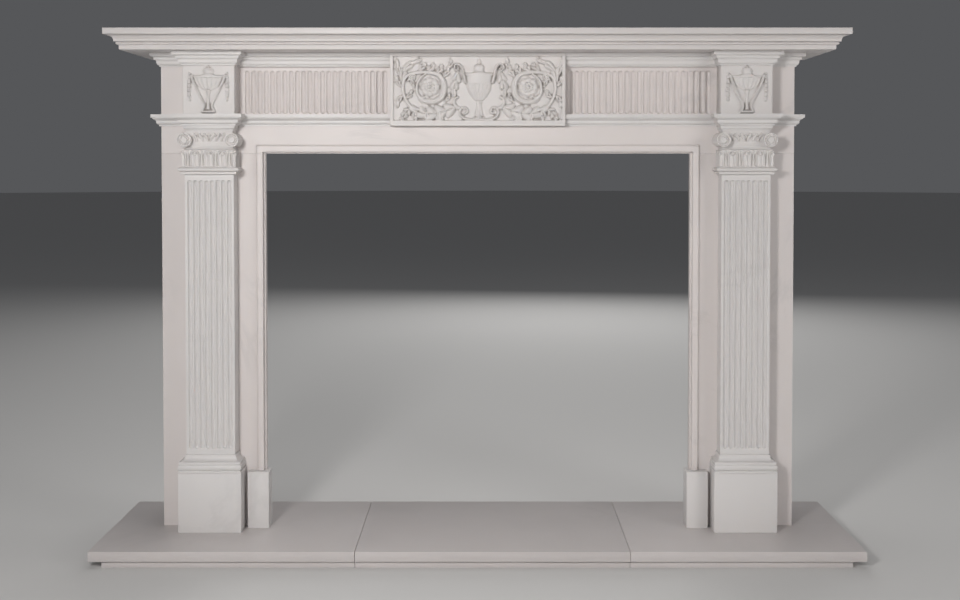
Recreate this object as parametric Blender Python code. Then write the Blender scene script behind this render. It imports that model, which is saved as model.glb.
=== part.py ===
"""A neo-classical marble fireplace on its hearth, at its real size.

Metres, with +Z up. The origin is the centre of the hearth's underside. The front faces -Y, and left is the
viewer's left. The right-hand pieces are made first, and each left-hand piece is the mirror of its fellow.
"""

import math

import bmesh
import bpy
import numpy as np
from mathutils import Matrix

# Gap left where one piece meets another
JOINT = 0.0003

# Opening, and the flat backing round it
OPENING_WIDTH = 1.066
OPENING_HEIGHT = 0.938
LEG_WIDTH = 0.2585
LINTEL_HEIGHT = 0.068
PANEL_THICKNESS = 0.025
RETURN_DEPTH = 0.175

# Moulding round the opening: a recessed fillet at the edge, then a flat band with a rounded outer side
FILLET_WIDTH = 0.0045
FILLET_DEPTH = 0.006
BAND_WIDTH = 0.0115
BAND_PROUD = 0.008
BAND_ROUND = 0.006
BAND_SEAT = 0.002

# Hearth: three slabs on a recessed course
HEARTH_DEPTH = 0.415
HEARTH_IN_FRONT = 0.204
HEARTH_BESIDE = 0.125
LEFT_SLAB_WIDTH = 0.628
RIGHT_SLAB_WIDTH = 0.556
SLAB_THICKNESS = 0.024
SLAB_JOINT = 0.001
SLAB_ARRIS = 0.0015
COURSE_HEIGHT = 0.016
COURSE_FRONT_INSET = 0.008
COURSE_SIDE_INSET = 0.030

# Pilaster
SHAFT_WIDTH = 0.1208
SHAFT_PROUD = 0.044
PLINTH_HEIGHT = 0.147
PLINTH_STEP = 0.0175
FOOT_HEIGHT = 0.1415
FOOT_PROUD = 0.024
FOOT_LAP = 0.0104
FOOT_GAP = 0.009

# Flutes
SHAFT_FLUTES = 8
SHAFT_MARGIN = 0.0068
SHAFT_LIST = 0.0039
SHAFT_FLUTE_END = 0.014
FRIEZE_FLUTES = 24
FRIEZE_BLOCK_MARGIN = 0.0010
FRIEZE_TABLET_MARGIN = 0.0085
FRIEZE_LIST = 0.0040
FRIEZE_FLUTE_FOOT = 0.002
FRIEZE_FLUTE_HEAD = 0.0085
FLUTE_DEPTH = 0.0045
FLUTE_SIDES = 6
DOME_TURN = math.radians(50)

# Scrolls and carving of the capital
SCROLL_RADIUS = 0.0177
SCROLL_SPREAD = 0.0575
SCROLL_STEP = 0.0155
SCROLL_DROP = 0.0045
SCROLL_RIM = 0.0035
SCROLL_SINK = 0.0025
SCROLL_SIDES = 14
NECK_LEAVES = 3
NECK_LEAF_PROUD = 0.0055
BAND_LEAVES = 3
BAND_LEAF_PROUD = 0.0045
BAND_LEAF_TURN = math.radians(24)

# Frieze
FRIEZE_HEIGHT = 0.1195
FRIEZE_RECESS = 0.012
STUB_LENGTH = 0.004
TABLET_WIDTH = 0.435
TABLET_PROUD = 0.026
FIELD_SINK = 0.004
CARVING_CELL = 0.0016
TABLET_TRIANGLES = 2260
URN_BLOCK_TRIANGLES = 450

# Shelf
SHELF_OVERHANG = 0.101
SHELF_IN_FRONT = 0.140

# Mouldings from the bottom up. Each member is its shape, its height and how much further out it reaches.
BASE_MOULDING = (
    ("fillet", 0.0055, 0.0175),
    ("fillet", 0.0015, -0.0030),
    ("torus", 0.0140, 0.0030),
    ("fillet", 0.0015, 0.0000),
    ("fillet", 0.0055, 0.0010),
    ("cavetto", 0.0110, -0.0125),
    ("fillet", 0.0050, 0.0000),
)
NECKING_RING = (
    ("fillet", 0.0020, 0.0030),
    ("cavetto", 0.0040, 0.0080),
    ("fillet", 0.0030, 0.0000),
    ("torus", 0.0090, 0.0035),
)
CAPITAL_BODY = (
    ("fillet", 0.0420, -0.0010),
    ("cavetto", 0.0120, -0.0090),
    ("fillet", 0.0350, 0.0010),
)
ARCHITRAVE_MOULDING = (
    ("fillet", 0.0020, 0.0000),
    ("cavetto", 0.0040, 0.0030),
    ("fillet", 0.0070, 0.0000),
)
FRIEZE_MOULDING = (
    ("fillet", 0.0040, 0.0040),
    ("ovolo", 0.0060, 0.0060),
    ("fillet", 0.0020, 0.0000),
    ("cyma", 0.0090, 0.0080),
    ("fillet", 0.0080, 0.0030),
)
BED_MOULDING = (
    ("fillet", 0.0030, 0.0035),
    ("ovolo", 0.0055, 0.0045),
    ("fillet", 0.0020, 0.0010),
    ("cavetto", 0.0065, 0.0040),
    ("fillet", 0.0025, 0.0010),
    ("cavetto", 0.0050, 0.0045),
    ("fillet", 0.0080, 0.0035),
)
SHELF_MOULDING = (
    ("fillet", 0.0105, 0.0000),
    ("torus", 0.0080, 0.0060),
    ("fillet", 0.0015, 0.0100),
    ("cavetto", 0.0145, 0.0160),
    ("fillet", 0.0145, 0.0040),
)
CURVE_STEPS = 4

# The marble's colours, linear: the face stone, the greyer hearth and the warmer backing
FACE_MARBLE = (0.62, 0.60, 0.58)
BACKING_MARBLE = (0.64, 0.60, 0.58)
HEARTH_MARBLE = (0.50, 0.48, 0.47)
POLISH = 0.35

# Carving, drawn on a sheet of millimetres from the middle of its block. The rinceau is the scrolling stem.
CARVING_SHEET = 0.001
SIDE_BORDER = 10
TOP_BORDER = 13
BLOCK_EDGE = 1
RINCEAU = (
    (60, -46), (90, -56), (125, -56), (160, -44), (184, -18), (188, 6), (182, 26), (162, 40), (134, 45),
    (106, 40), (90, 22), (87, 0), (94, -20), (112, -30), (134, -28), (150, -14), (154, 6), (146, 24),
    (128, 32),
)
TABLET_LEAVES = (
    ((186, 20), (200, 60), 12), ((178, 34), (178, 72), 12), ((160, 42), (146, 68), 12),
    ((134, 46), (118, 66), 11), ((108, 42), (92, 58), 10), ((94, 34), (76, 46), 9),
    ((188, 0), (202, -18), 8), ((184, -16), (200, -44), 11), ((168, -38), (196, -72), 15),
    ((146, -50), (158, -76), 13), ((122, -56), (116, -76), 13), ((96, -56), (80, -76), 14),
    ((74, -50), (56, -74), 10), ((150, -46), (164, -14), 12), ((120, -54), (142, -36), 10),
    ((90, -54), (112, -38), 10), ((66, -46), (84, -26), 10), ((176, -28), (168, -2), 8),
)


def profile(members):
    """Lists a moulding's points (out, up) from its members. A torus comes back to where it starts."""
    out = up = 0.0
    points = []
    for shape, height, reach in members:
        if shape == "fillet":
            out += reach
            steps = [(out, up), (out, up + height)]
        else:
            shares = [curve_share(shape, reach, step / CURVE_STEPS) for step in range(CURVE_STEPS + 1)]
            steps = [(out + reach * a, up + height * b) for a, b in shares]
            out += 0.0 if shape == "torus" else reach
        points += [step for step in steps if not points or math.dist(step, points[-1]) > 1e-6]
        up += height
    return points


def curve_share(shape, reach, t):
    """Gives how far out and how far up a curved member is, as shares, at t from its bottom to its top."""
    if shape == "cyma":
        return t - math.sin(2 * math.pi * t) / (2 * math.pi), t
    if shape == "torus":
        return math.sin(math.pi * t), (1 - math.cos(math.pi * t)) / 2
    sine, rest = math.sin(math.pi / 2 * t), 1 - math.cos(math.pi / 2 * t)
    return (sine, rest) if (shape == "ovolo") == (reach > 0) else (rest, sine)


def height_of(members):
    """Gives the whole height of a moulding."""
    return profile(members)[-1][1]


def reach_of(members):
    """Gives how far out a moulding ends at its top."""
    return profile(members)[-1][0]


# Places across, to the right of the middle
OPENING_SIDE = OPENING_WIDTH / 2
LEG_SIDE = OPENING_SIDE + LEG_WIDTH
AXIS = OPENING_SIDE + LEG_WIDTH / 2
HEARTH_SIDE = LEG_SIDE + HEARTH_BESIDE
SHELF_SIDE = LEG_SIDE + SHELF_OVERHANG
TABLET_SIDE = TABLET_WIDTH / 2
SHAFT_HALF = SHAFT_WIDTH / 2
PLINTH_HALF = SHAFT_HALF + PLINTH_STEP
BLOCK_HALF = SHAFT_HALF + reach_of(ARCHITRAVE_MOULDING)
FOOT_OUTER = AXIS - PLINTH_HALF - FOOT_GAP

# Places from front to back
HEARTH_FRONT = -HEARTH_DEPTH / 2
FACE = HEARTH_FRONT + HEARTH_IN_FRONT
WALL = FACE + RETURN_DEPTH
PANEL_BACK = FACE + PANEL_THICKNESS
SEAT = FACE - JOINT
SHAFT_FRONT = FACE - SHAFT_PROUD
BLOCK_FRONT = SHAFT_FRONT - reach_of(ARCHITRAVE_MOULDING)

# Heights
HEARTH_TOP = COURSE_HEIGHT + SLAB_THICKNESS
PLINTH_TOP = HEARTH_TOP + PLINTH_HEIGHT
BASE_TOP = PLINTH_TOP + height_of(BASE_MOULDING)
OPENING_TOP = HEARTH_TOP + OPENING_HEIGHT
FRIEZE_MOULDING_LOW = OPENING_TOP + LINTEL_HEIGHT
CAPITAL_TOP = FRIEZE_MOULDING_LOW - height_of(ARCHITRAVE_MOULDING)
SCROLL_MIDDLE = CAPITAL_TOP - SCROLL_DROP - SCROLL_RADIUS
NECK_LOW = CAPITAL_TOP - height_of(CAPITAL_BODY)
SHAFT_TOP = NECK_LOW - height_of(NECKING_RING)
FRIEZE_LOW = FRIEZE_MOULDING_LOW + height_of(FRIEZE_MOULDING)
FRIEZE_HIGH = FRIEZE_LOW + FRIEZE_HEIGHT
SHELF_LOW = FRIEZE_HIGH + height_of(BED_MOULDING)


def material(name, colour):
    """Makes one piece's marble."""
    stone = bpy.data.materials.new(name + "_marble")
    stone.use_nodes = True
    shader = stone.node_tree.nodes["Principled BSDF"]
    shader.inputs["Base Color"].default_value = (*colour, 1.0)
    shader.inputs["Roughness"].default_value = POLISH
    shader.inputs["Metallic"].default_value = 0.0
    return stone


def piece(name, bm, colour):
    """Turns a finished bmesh into a named object whose faces point out."""
    bmesh.ops.recalc_face_normals(bm, faces=bm.faces)
    mesh = bpy.data.meshes.new(name)
    bm.to_mesh(mesh)
    bm.free()
    mesh.materials.append(material(name, colour))
    made = bpy.data.objects.new(name, mesh)
    bpy.context.collection.objects.link(made)
    return made


def work(made, tool, operation, overlapping=False):
    """Joins a hidden tool to a piece, or cuts the piece with it."""
    tool.hide_render = True
    tool.display_type = "WIRE"
    modifier = made.modifiers.new(operation.title(), "BOOLEAN")
    modifier.operation = operation
    modifier.solver = "EXACT"
    modifier.use_self = overlapping
    modifier.object = tool


def thin(made, ratio):
    """Merges the small flat faces of a carved piece."""
    modifier = made.modifiers.new("Thin", "DECIMATE")
    modifier.ratio = ratio


def mirrored(made, name, colour):
    """Makes the left-hand fellow of a right-hand piece, with tools and modifiers of its own."""
    bm = bmesh.new()
    bm.from_mesh(made.data)
    bmesh.ops.scale(bm, vec=(-1, 1, 1), verts=bm.verts)
    fellow = piece(name, bm, colour)
    for modifier in made.modifiers:
        if modifier.type == "BOOLEAN":
            tool = mirrored(modifier.object, modifier.object.name + "_mirrored", colour)
            work(fellow, tool, modifier.operation, modifier.use_self)
        else:
            thin(fellow, modifier.ratio)
    return fellow


def pair(name, bm, colour, tool=None, operation="DIFFERENCE", ratio=None):
    """Makes a piece on the right and its mirror on the left, each worked by the tool and thinned."""
    right = piece(name + "_right", bm, colour)
    if tool:
        work(right, piece(name + "_tool", tool, colour), operation, overlapping=operation == "UNION")
    if ratio:
        thin(right, ratio)
    mirrored(right, name + "_left", colour)


def add_box(bm, x_span, y_span, z_span):
    """Adds a box between three pairs of limits."""
    made = bmesh.ops.create_cube(bm, size=1.0)["verts"]
    for vert in made:
        for axis, (low, high) in enumerate((x_span, y_span, z_span)):
            vert.co[axis] = (low + high) / 2 + vert.co[axis] * (high - low)


def box(x_span, y_span, z_span):
    """Makes a bmesh of one box."""
    bm = bmesh.new()
    add_box(bm, x_span, y_span, z_span)
    return bm


def loft(rings):
    """Raises a closed outline through its rings, each a list of as many (x, y, z) places."""
    bm = bmesh.new()
    face = bm.faces.new([bm.verts.new(place) for place in rings[0]])
    for ring in rings[1:]:
        grown = bmesh.ops.extrude_face_region(bm, geom=[face, *face.edges, *face.verts])["geom"]
        face = next(item for item in grown if isinstance(item, bmesh.types.BMFace))
        for vert, place in zip(face.verts, ring):
            vert.co = place
    return bm


def prism(plan, low, high):
    """Raises a flat plan between two heights."""
    return loft([[(x, y, z) for x, y in plan] for z in (low, high)])


def set_out(path, out):
    """Moves an open path of right-angled runs out to its left, with its ends kept square."""
    normals = []
    for (x0, y0), (x1, y1) in zip(path, path[1:]):
        length = math.hypot(x1 - x0, y1 - y0)
        normals.append(((y0 - y1) / length, (x1 - x0) / length))
    turns = [(a[0] + b[0], a[1] + b[1]) for a, b in zip(normals, normals[1:])]
    moves = [normals[0], *turns, normals[-1]]
    return [(x + out * nx, y + out * ny) for (x, y), (nx, ny) in zip(path, moves)]


def moulding(path, back, members, low):
    """Makes a moulded course: its path in plan, set out by the profile, closed by the places at its back."""
    rings = []
    for out, up in profile(members):
        plan = set_out(path, out) + back
        rings.append([(x, y, low + max(up, JOINT)) for x, y in plan])
    return loft(rings)


def block_path(half, front):
    """Gives the plan of a block on the pilaster's axis: its outer side, front and inner side."""
    return [(AXIS + half, SEAT), (AXIS + half, front), (AXIS - half, front), (AXIS - half, SEAT)]


def hearth():
    """Lays the three slabs and the course under them, with open joints."""
    joints = (-HEARTH_SIDE + LEFT_SLAB_WIDTH, HEARTH_SIDE - RIGHT_SLAB_WIDTH)
    half_joint = SLAB_JOINT / 2
    starts = (-HEARTH_SIDE, joints[0] + half_joint, joints[1] + half_joint)
    ends = (joints[0] - half_joint, joints[1] - half_joint, HEARTH_SIDE)
    for name, start, end in zip(("left", "centre", "right"), starts, ends):
        slab = box((start, end), (HEARTH_FRONT, -HEARTH_FRONT), (COURSE_HEIGHT + JOINT, HEARTH_TOP))
        top = max(vert.co.z for vert in slab.verts)
        upper = [edge for edge in slab.edges if all(vert.co.z == top for vert in edge.verts)]
        bmesh.ops.bevel(
            slab, geom=upper, offset=SLAB_ARRIS, segments=1, profile=0.5, affect="EDGES", material=-1
        )
        piece("hearth_slab_" + name, slab, HEARTH_MARBLE)
        limit = HEARTH_SIDE - COURSE_SIDE_INSET
        across = (max(start, -limit), min(end, limit))
        course = box(across, (HEARTH_FRONT + COURSE_FRONT_INSET, -HEARTH_FRONT), (0.0, COURSE_HEIGHT))
        piece("hearth_course_" + name, course, HEARTH_MARBLE)


def band_section():
    """Lists the opening's band from its inner side out, as (distance from the opening, how proud)."""
    flat_end = FILLET_WIDTH + BAND_WIDTH
    turns = [math.pi / 2 * step / CURVE_STEPS for step in range(CURVE_STEPS + 1)]
    rounded = [(flat_end + BAND_ROUND * math.sin(turn), BAND_PROUD * math.cos(turn)) for turn in turns]
    return [(FILLET_WIDTH, BAND_PROUD), *rounded]


def leg_panels():
    """Makes the leg backings: the flat face with the opening's band and fillet, and the return."""
    fillet = [(OPENING_SIDE, FACE + FILLET_DEPTH), (OPENING_SIDE + FILLET_WIDTH, FACE + FILLET_DEPTH)]
    band = [(OPENING_SIDE + across, FACE - proud) for across, proud in band_section()]
    inner_return = LEG_SIDE - PANEL_THICKNESS
    rest = [
        (LEG_SIDE, FACE),
        (LEG_SIDE, WALL),
        (inner_return, WALL),
        (inner_return, PANEL_BACK),
        (OPENING_SIDE, PANEL_BACK),
    ]
    panel = prism(fillet + band + rest, HEARTH_TOP + JOINT, OPENING_TOP)
    seat = box(
        (OPENING_SIDE - FOOT_LAP, FOOT_OUTER + JOINT),
        (FACE - FOOT_PROUD, FACE + FILLET_DEPTH + JOINT),
        (0.0, HEARTH_TOP + FOOT_HEIGHT + JOINT),
    )
    pair("leg_panel", panel, BACKING_MARBLE, seat)


def foot_blocks():
    """Makes the blocks at the foot of the opening's band. Each laps round the edge of its leg."""
    plan = [
        (OPENING_SIDE - FOOT_LAP, FACE - FOOT_PROUD),
        (FOOT_OUTER, FACE - FOOT_PROUD),
        (FOOT_OUTER, FACE + FILLET_DEPTH),
        (OPENING_SIDE - JOINT, FACE + FILLET_DEPTH),
        (OPENING_SIDE - JOINT, PANEL_BACK),
        (OPENING_SIDE - FOOT_LAP, PANEL_BACK),
    ]
    pair("foot_block", prism(plan, HEARTH_TOP + JOINT, HEARTH_TOP + FOOT_HEIGHT), FACE_MARBLE)


def flute_bars(left, right, low, high, count, gap, front):
    """Makes the round-ended bars that cut a row of flutes into a face."""
    bm = bmesh.new()
    pitch = (right - left + gap) / count
    half = (pitch - gap) / 2
    for number in range(count):
        bar = bmesh.ops.create_cone(
            bm, cap_ends=True, segments=FLUTE_SIDES, radius1=half, radius2=half, depth=high - low - 2 * half
        )["verts"]
        caps = {face for vert in bar for face in vert.link_faces if abs(face.normal.z) > 0.5}
        for cap in caps:
            side = math.copysign(1.0, cap.calc_center_median().z)
            grown = bmesh.ops.extrude_face_region(bm, geom=[cap, *cap.edges, *cap.verts])["geom"]
            ring = [item for item in grown if isinstance(item, bmesh.types.BMVert)]
            end = [item for item in grown if isinstance(item, bmesh.types.BMFace)]
            for vert in ring:
                vert.co.x *= math.cos(DOME_TURN)
                vert.co.y *= math.cos(DOME_TURN)
                vert.co.z += side * half * math.sin(DOME_TURN)
            tip = bmesh.ops.poke(bm, faces=end)["verts"]
            tip[0].co.z += side * half * (1 - math.sin(DOME_TURN))
            bar += ring + tip
        for vert in bar:
            vert.co.x += left + half + number * pitch
            vert.co.y = front + vert.co.y * FLUTE_DEPTH / half
            vert.co.z += (low + high) / 2
    return bm


def frieze_board():
    """Makes the board over the opening: its returns, the opening's band along its foot and its flutes."""
    plan = [
        (-LEG_SIDE, WALL),
        (-LEG_SIDE, FACE),
        (LEG_SIDE, FACE),
        (LEG_SIDE, WALL),
        (LEG_SIDE - PANEL_THICKNESS, WALL),
        (LEG_SIDE - PANEL_THICKNESS, PANEL_BACK),
        (PANEL_THICKNESS - LEG_SIDE, PANEL_BACK),
        (PANEL_THICKNESS - LEG_SIDE, WALL),
    ]
    board = piece("frieze_board", prism(plan, OPENING_TOP + JOINT, SHELF_LOW), BACKING_MARBLE)
    side, top = OPENING_SIDE + FILLET_WIDTH, OPENING_TOP + FILLET_WIDTH
    fillet = box((-side, side), (FACE - BAND_PROUD, FACE + FILLET_DEPTH), (0.0, top))
    work(board, piece("fillet_tool", fillet, BACKING_MARBLE), "DIFFERENCE")
    work(board, piece("band_tool", band_frame(), BACKING_MARBLE), "UNION")
    field = FACE + FRIEZE_RECESS
    inner, outer = TABLET_SIDE, AXIS - BLOCK_HALF
    low, high = FRIEZE_LOW + FRIEZE_FLUTE_FOOT, FRIEZE_HIGH - FRIEZE_FLUTE_HEAD
    for left, right in ((-outer, -inner), (inner, outer)):
        recess = box((left, right), (FACE - BAND_PROUD, field), (FRIEZE_LOW, FRIEZE_HIGH))
        work(board, piece("recess_tool", recess, BACKING_MARBLE), "DIFFERENCE")
    inner, outer = inner + FRIEZE_TABLET_MARGIN, outer - FRIEZE_BLOCK_MARGIN
    for left, right in ((-outer, -inner), (inner, outer)):
        bars = flute_bars(left, right, low, high, FRIEZE_FLUTES, FRIEZE_LIST, field)
        work(board, piece("frieze_flutes", bars, BACKING_MARBLE), "DIFFERENCE")


def band_frame():
    """Makes the band along the top of the opening, mitred at its corners and let into the board."""
    section = band_section()
    closed = section + [(section[-1][0], -BAND_SEAT), (section[0][0], -BAND_SEAT)]
    rings = []
    for side, rise in ((1, 0), (1, 1), (-1, 1), (-1, 0)):
        rings.append(
            [
                (side * (OPENING_SIDE + across), FACE - proud, OPENING_TOP + (across if rise else JOINT))
                for across, proud in closed
            ]
        )
    return loft(rings)


def pilasters():
    """Makes each pilaster from its plinth up to the plain block over its capital."""
    plinth_front = SHAFT_FRONT - PLINTH_STEP
    across = (AXIS - PLINTH_HALF, AXIS + PLINTH_HALF)
    plinth = box(across, (plinth_front, SEAT), (HEARTH_TOP + JOINT, PLINTH_TOP))
    pair("pilaster_plinth", plinth, FACE_MARBLE)
    shaft_path = block_path(SHAFT_HALF, SHAFT_FRONT)
    pair("pilaster_base", moulding(shaft_path, [], BASE_MOULDING, PLINTH_TOP), FACE_MARBLE)
    shaft = box((AXIS - SHAFT_HALF, AXIS + SHAFT_HALF), (SHAFT_FRONT, SEAT), (BASE_TOP + JOINT, SHAFT_TOP))
    flute_side = SHAFT_HALF - SHAFT_MARGIN
    flutes = flute_bars(
        AXIS - flute_side,
        AXIS + flute_side,
        BASE_TOP + SHAFT_FLUTE_END,
        SHAFT_TOP - SHAFT_FLUTE_END,
        SHAFT_FLUTES,
        SHAFT_LIST,
        SHAFT_FRONT,
    )
    pair("pilaster_shaft", shaft, FACE_MARBLE, flutes)
    body = moulding(shaft_path, [], NECKING_RING + CAPITAL_BODY, SHAFT_TOP)
    pair("pilaster_capital", body, FACE_MARBLE, capital_carving(), "UNION")
    pair("architrave_block", moulding(shaft_path, [], ARCHITRAVE_MOULDING, CAPITAL_TOP), FACE_MARBLE)


def capital_carving():
    """Carves the capital: two scrolls, slanting leaves between them and tongue leaves on the necking."""
    bm = bmesh.new()
    for side in (-1, 1):
        add_scroll(bm, AXIS + side * SCROLL_SPREAD)
    ring_reach = reach_of(NECKING_RING)
    neck_reach = ring_reach + CAPITAL_BODY[0][2]
    neck_half = SHAFT_HALF + neck_reach
    neck_front = SHAFT_FRONT - neck_reach
    pitch = 2 * neck_half / (NECK_LEAVES + 1)
    size = (0.42 * pitch, NECK_LEAF_PROUD, CAPITAL_BODY[0][1])
    for number in range(-(NECK_LEAVES // 2), NECK_LEAVES // 2 + 1):
        add_neck_leaf(bm, (AXIS + number * pitch, neck_front), size)
    for side in (-1, 1):
        corner = (AXIS + side * (neck_half - 0.25 * NECK_LEAF_PROUD), neck_front + 0.25 * NECK_LEAF_PROUD)
        add_neck_leaf(bm, corner, (1.2 * NECK_LEAF_PROUD, 1.2 * NECK_LEAF_PROUD, size[2]))
        add_neck_leaf(bm, (AXIS + side * neck_half, neck_front + pitch), (size[1], size[0], size[2]))
    band_front = SHAFT_FRONT - ring_reach - sum(reach for _, _, reach in CAPITAL_BODY)
    step = (SCROLL_SPREAD - SCROLL_RADIUS) / (BAND_LEAVES + 0.5)
    for side in (-1, 1):
        for number in range(BAND_LEAVES):
            size = (0.28 * step, BAND_LEAF_PROUD, 0.62 * SCROLL_RADIUS)
            place = (AXIS + side * step * (number + 0.6), band_front, SCROLL_MIDDLE)
            turn = Matrix.Rotation(-side * BAND_LEAF_TURN, 4, "Y")
            matrix = Matrix.Translation(place) @ turn @ Matrix.Diagonal((*size, 1.0))
            bmesh.ops.create_icosphere(bm, subdivisions=1, radius=1.0, matrix=matrix)
    return bm


def add_scroll(bm, x):
    """Adds a scroll: a bolster from the backing to the front, with a sunk ring round its eye."""
    front = SHAFT_FRONT - SCROLL_STEP
    depth = SEAT - front
    matrix = Matrix.Translation((x, front + depth / 2, SCROLL_MIDDLE)) @ Matrix.Rotation(math.pi / 2, 4, "X")
    made = bmesh.ops.create_cone(
        bm, cap_ends=True, segments=SCROLL_SIDES, radius1=SCROLL_RADIUS, radius2=SCROLL_RADIUS, depth=depth,
        matrix=matrix,
    )["verts"]
    bm.normal_update()
    end = [face for face in {f for v in made for f in v.link_faces} if face.normal.y < -0.5]
    for width, depth in ((SCROLL_RIM, 0.0), (SCROLL_SINK / 2, -SCROLL_SINK), (SCROLL_SINK / 2, SCROLL_SINK)):
        bmesh.ops.inset_individual(bm, faces=end, thickness=width, depth=depth, use_even_offset=True)


def add_neck_leaf(bm, place, size):
    """Adds a tongue-shaped leaf, cut flat where it springs from the necking's ring."""
    leaf = bmesh.new()
    half_width, proud, height = size
    low = NECK_LOW - 0.5 * JOINT
    shape = Matrix.Diagonal((half_width, proud, 0.58 * height, 1))
    matrix = Matrix.Translation((*place, low + 0.35 * height)) @ shape
    bmesh.ops.create_uvsphere(leaf, u_segments=8, v_segments=5, radius=1.0, matrix=matrix)
    everything = leaf.verts[:] + leaf.edges[:] + leaf.faces[:]
    bmesh.ops.bisect_plane(leaf, geom=everything, plane_co=(0, 0, low), plane_no=(0, 0, -1), clear_outer=True)
    bmesh.ops.holes_fill(leaf, edges=[edge for edge in leaf.edges if edge.is_boundary])
    mesh = bpy.data.meshes.new("leaf")
    leaf.to_mesh(mesh)
    leaf.free()
    bm.from_mesh(mesh)
    bpy.data.meshes.remove(mesh)


def mouldings():
    """Makes the frieze's two courses of moulding: a piece round the leg and its block, and a plain run."""
    for name, members, low in (
        ("frieze_moulding", FRIEZE_MOULDING, FRIEZE_MOULDING_LOW),
        ("bed_moulding", BED_MOULDING, FRIEZE_HIGH),
    ):
        stub = AXIS - BLOCK_HALF - max(out for out, _ in profile(members)) - STUB_LENGTH
        block = block_path(BLOCK_HALF, BLOCK_FRONT)
        around = [(LEG_SIDE + JOINT, WALL), (LEG_SIDE + JOINT, SEAT), *block, (stub, SEAT)]
        back = [(stub, SEAT), (LEG_SIDE + JOINT, SEAT), (LEG_SIDE + JOINT, WALL)]
        pair(name, moulding(around, back, members, low), FACE_MARBLE)
        run = [(stub - JOINT, SEAT), (TABLET_SIDE + JOINT, SEAT)]
        pair(name + "_run", moulding(run, run[::-1], members, low), FACE_MARBLE)


def mantel_shelf():
    """Makes the shelf, moulded at its front and both ends."""
    reach = reach_of(SHELF_MOULDING)
    side, front = SHELF_SIDE - reach, FACE - SHELF_IN_FRONT + reach
    path = [(side, WALL), (side, front), (-side, front), (-side, WALL)]
    piece("mantel_shelf", moulding(path, [], SHELF_MOULDING, SHELF_LOW), FACE_MARBLE)


def carved_block(x_span, z_span, front, carving):
    """Makes a block whose front is carved: carving(x, z) gives its heights, from the front's middle."""
    bm = bmesh.new()
    width, height = x_span[1] - x_span[0], z_span[1] - z_span[0]
    columns, rows = round(width / CARVING_CELL), round(height / CARVING_CELL)
    bmesh.ops.create_grid(bm, x_segments=columns, y_segments=rows, size=0.5)
    across = np.array([vert.co.x * width for vert in bm.verts])
    up = np.array([vert.co.y * height for vert in bm.verts])
    heights = carving(across, up)
    middle = (sum(x_span) / 2, sum(z_span) / 2)
    for vert, x, z, high in zip(bm.verts, across, up, heights):
        vert.co = (middle[0] + x, front - high, middle[1] + z)
    rim = [edge for edge in bm.edges if edge.is_boundary]
    grown = bmesh.ops.extrude_edge_only(bm, edges=rim)["geom"]
    for item in grown:
        if isinstance(item, bmesh.types.BMVert):
            item.co.y = SEAT
    bmesh.ops.holes_fill(bm, edges=[edge for edge in bm.edges if edge.is_boundary])
    bmesh.ops.triangulate(bm, faces=bm.faces)
    return bm


def mound(x, z, place, half_width, half_height, high):
    """Gives a rounded mound."""
    rest = 1 - ((x - place[0]) / half_width) ** 2 - ((z - place[1]) / half_height) ** 2
    return high * np.sqrt(np.clip(rest, 0, None))


def smooth_line(points, steps=6):
    """Lists the places of a smooth curve through its points."""
    ends = [points[0], *points, points[-1]]
    line = []
    for a, b, c, d in zip(ends, ends[1:], ends[2:], ends[3:]):
        for step in range(steps):
            t = step / steps
            line.append(
                tuple(
                    q + t * ((r - p) + (2 * p - 5 * q + 4 * r - s) * t + (3 * q - p - 3 * r + s) * t**2) / 2
                    for p, q, r, s in zip(a, b, c, d)
                )
            )
    return [*line, points[-1]]


def stem(x, z, points, widths, high):
    """Gives a rounded stem along a smooth line; its half width runs from the first to the second width."""
    line = smooth_line(points)
    heights = np.zeros_like(x)
    for number, ((x0, z0), (x1, z1)) in enumerate(zip(line, line[1:])):
        length = (x1 - x0) ** 2 + (z1 - z0) ** 2
        along = np.clip(((x - x0) * (x1 - x0) + (z - z0) * (z1 - z0)) / length, 0, 1)
        share = (number + along) / (len(line) - 1)
        width = widths[0] + (widths[1] - widths[0]) * share
        away = np.hypot(x - x0 - along * (x1 - x0), z - z0 - along * (z1 - z0)) / width
        heights = np.maximum(heights, high * np.sqrt(np.clip(1 - away**2, 0, None)))
    return heights


def turned(x, z, outline, flatness, flutes=0):
    """Gives a half-round turned form from its outline of (half width, height up), with flutes if asked."""
    ups = [up for _, up in outline]
    width = np.interp(z, ups, [half for half, _ in outline], left=0.0, right=0.0)
    share = np.clip(np.abs(x) / np.maximum(width, 1e-6), 0, 1)
    heights = flatness * width * np.sqrt(1 - share**2)
    if flutes:
        heights -= 0.9 * np.abs(np.sin(flutes * np.arcsin(share))) * (share < 1)
    return np.where(width > 0, np.clip(heights, 0, None), 0)


def leaf(x, z, base, tip, half_width, high, lobes=3):
    """Gives an acanthus leaf: a lobed edge and a sunk midrib, rising from its base to its tip."""
    dx, dz = tip[0] - base[0], tip[1] - base[1]
    length = math.hypot(dx, dz)
    along = np.clip(((x - base[0]) * dx + (z - base[1]) * dz) / length**2, 0, 1)
    away = np.hypot(x - base[0] - along * dx, z - base[1] - along * dz)
    edge = half_width * np.sin(math.pi * along**0.8) * (0.82 + 0.18 * np.cos(2 * math.pi * lobes * along))
    share = np.clip(away / np.maximum(edge, 1e-6), 0, 1)
    heights = high * (0.55 + 0.45 * along) * np.sqrt(1 - share**2)
    return heights * (1 - 0.25 * np.clip(1 - 4 * share, 0, 1))


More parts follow.
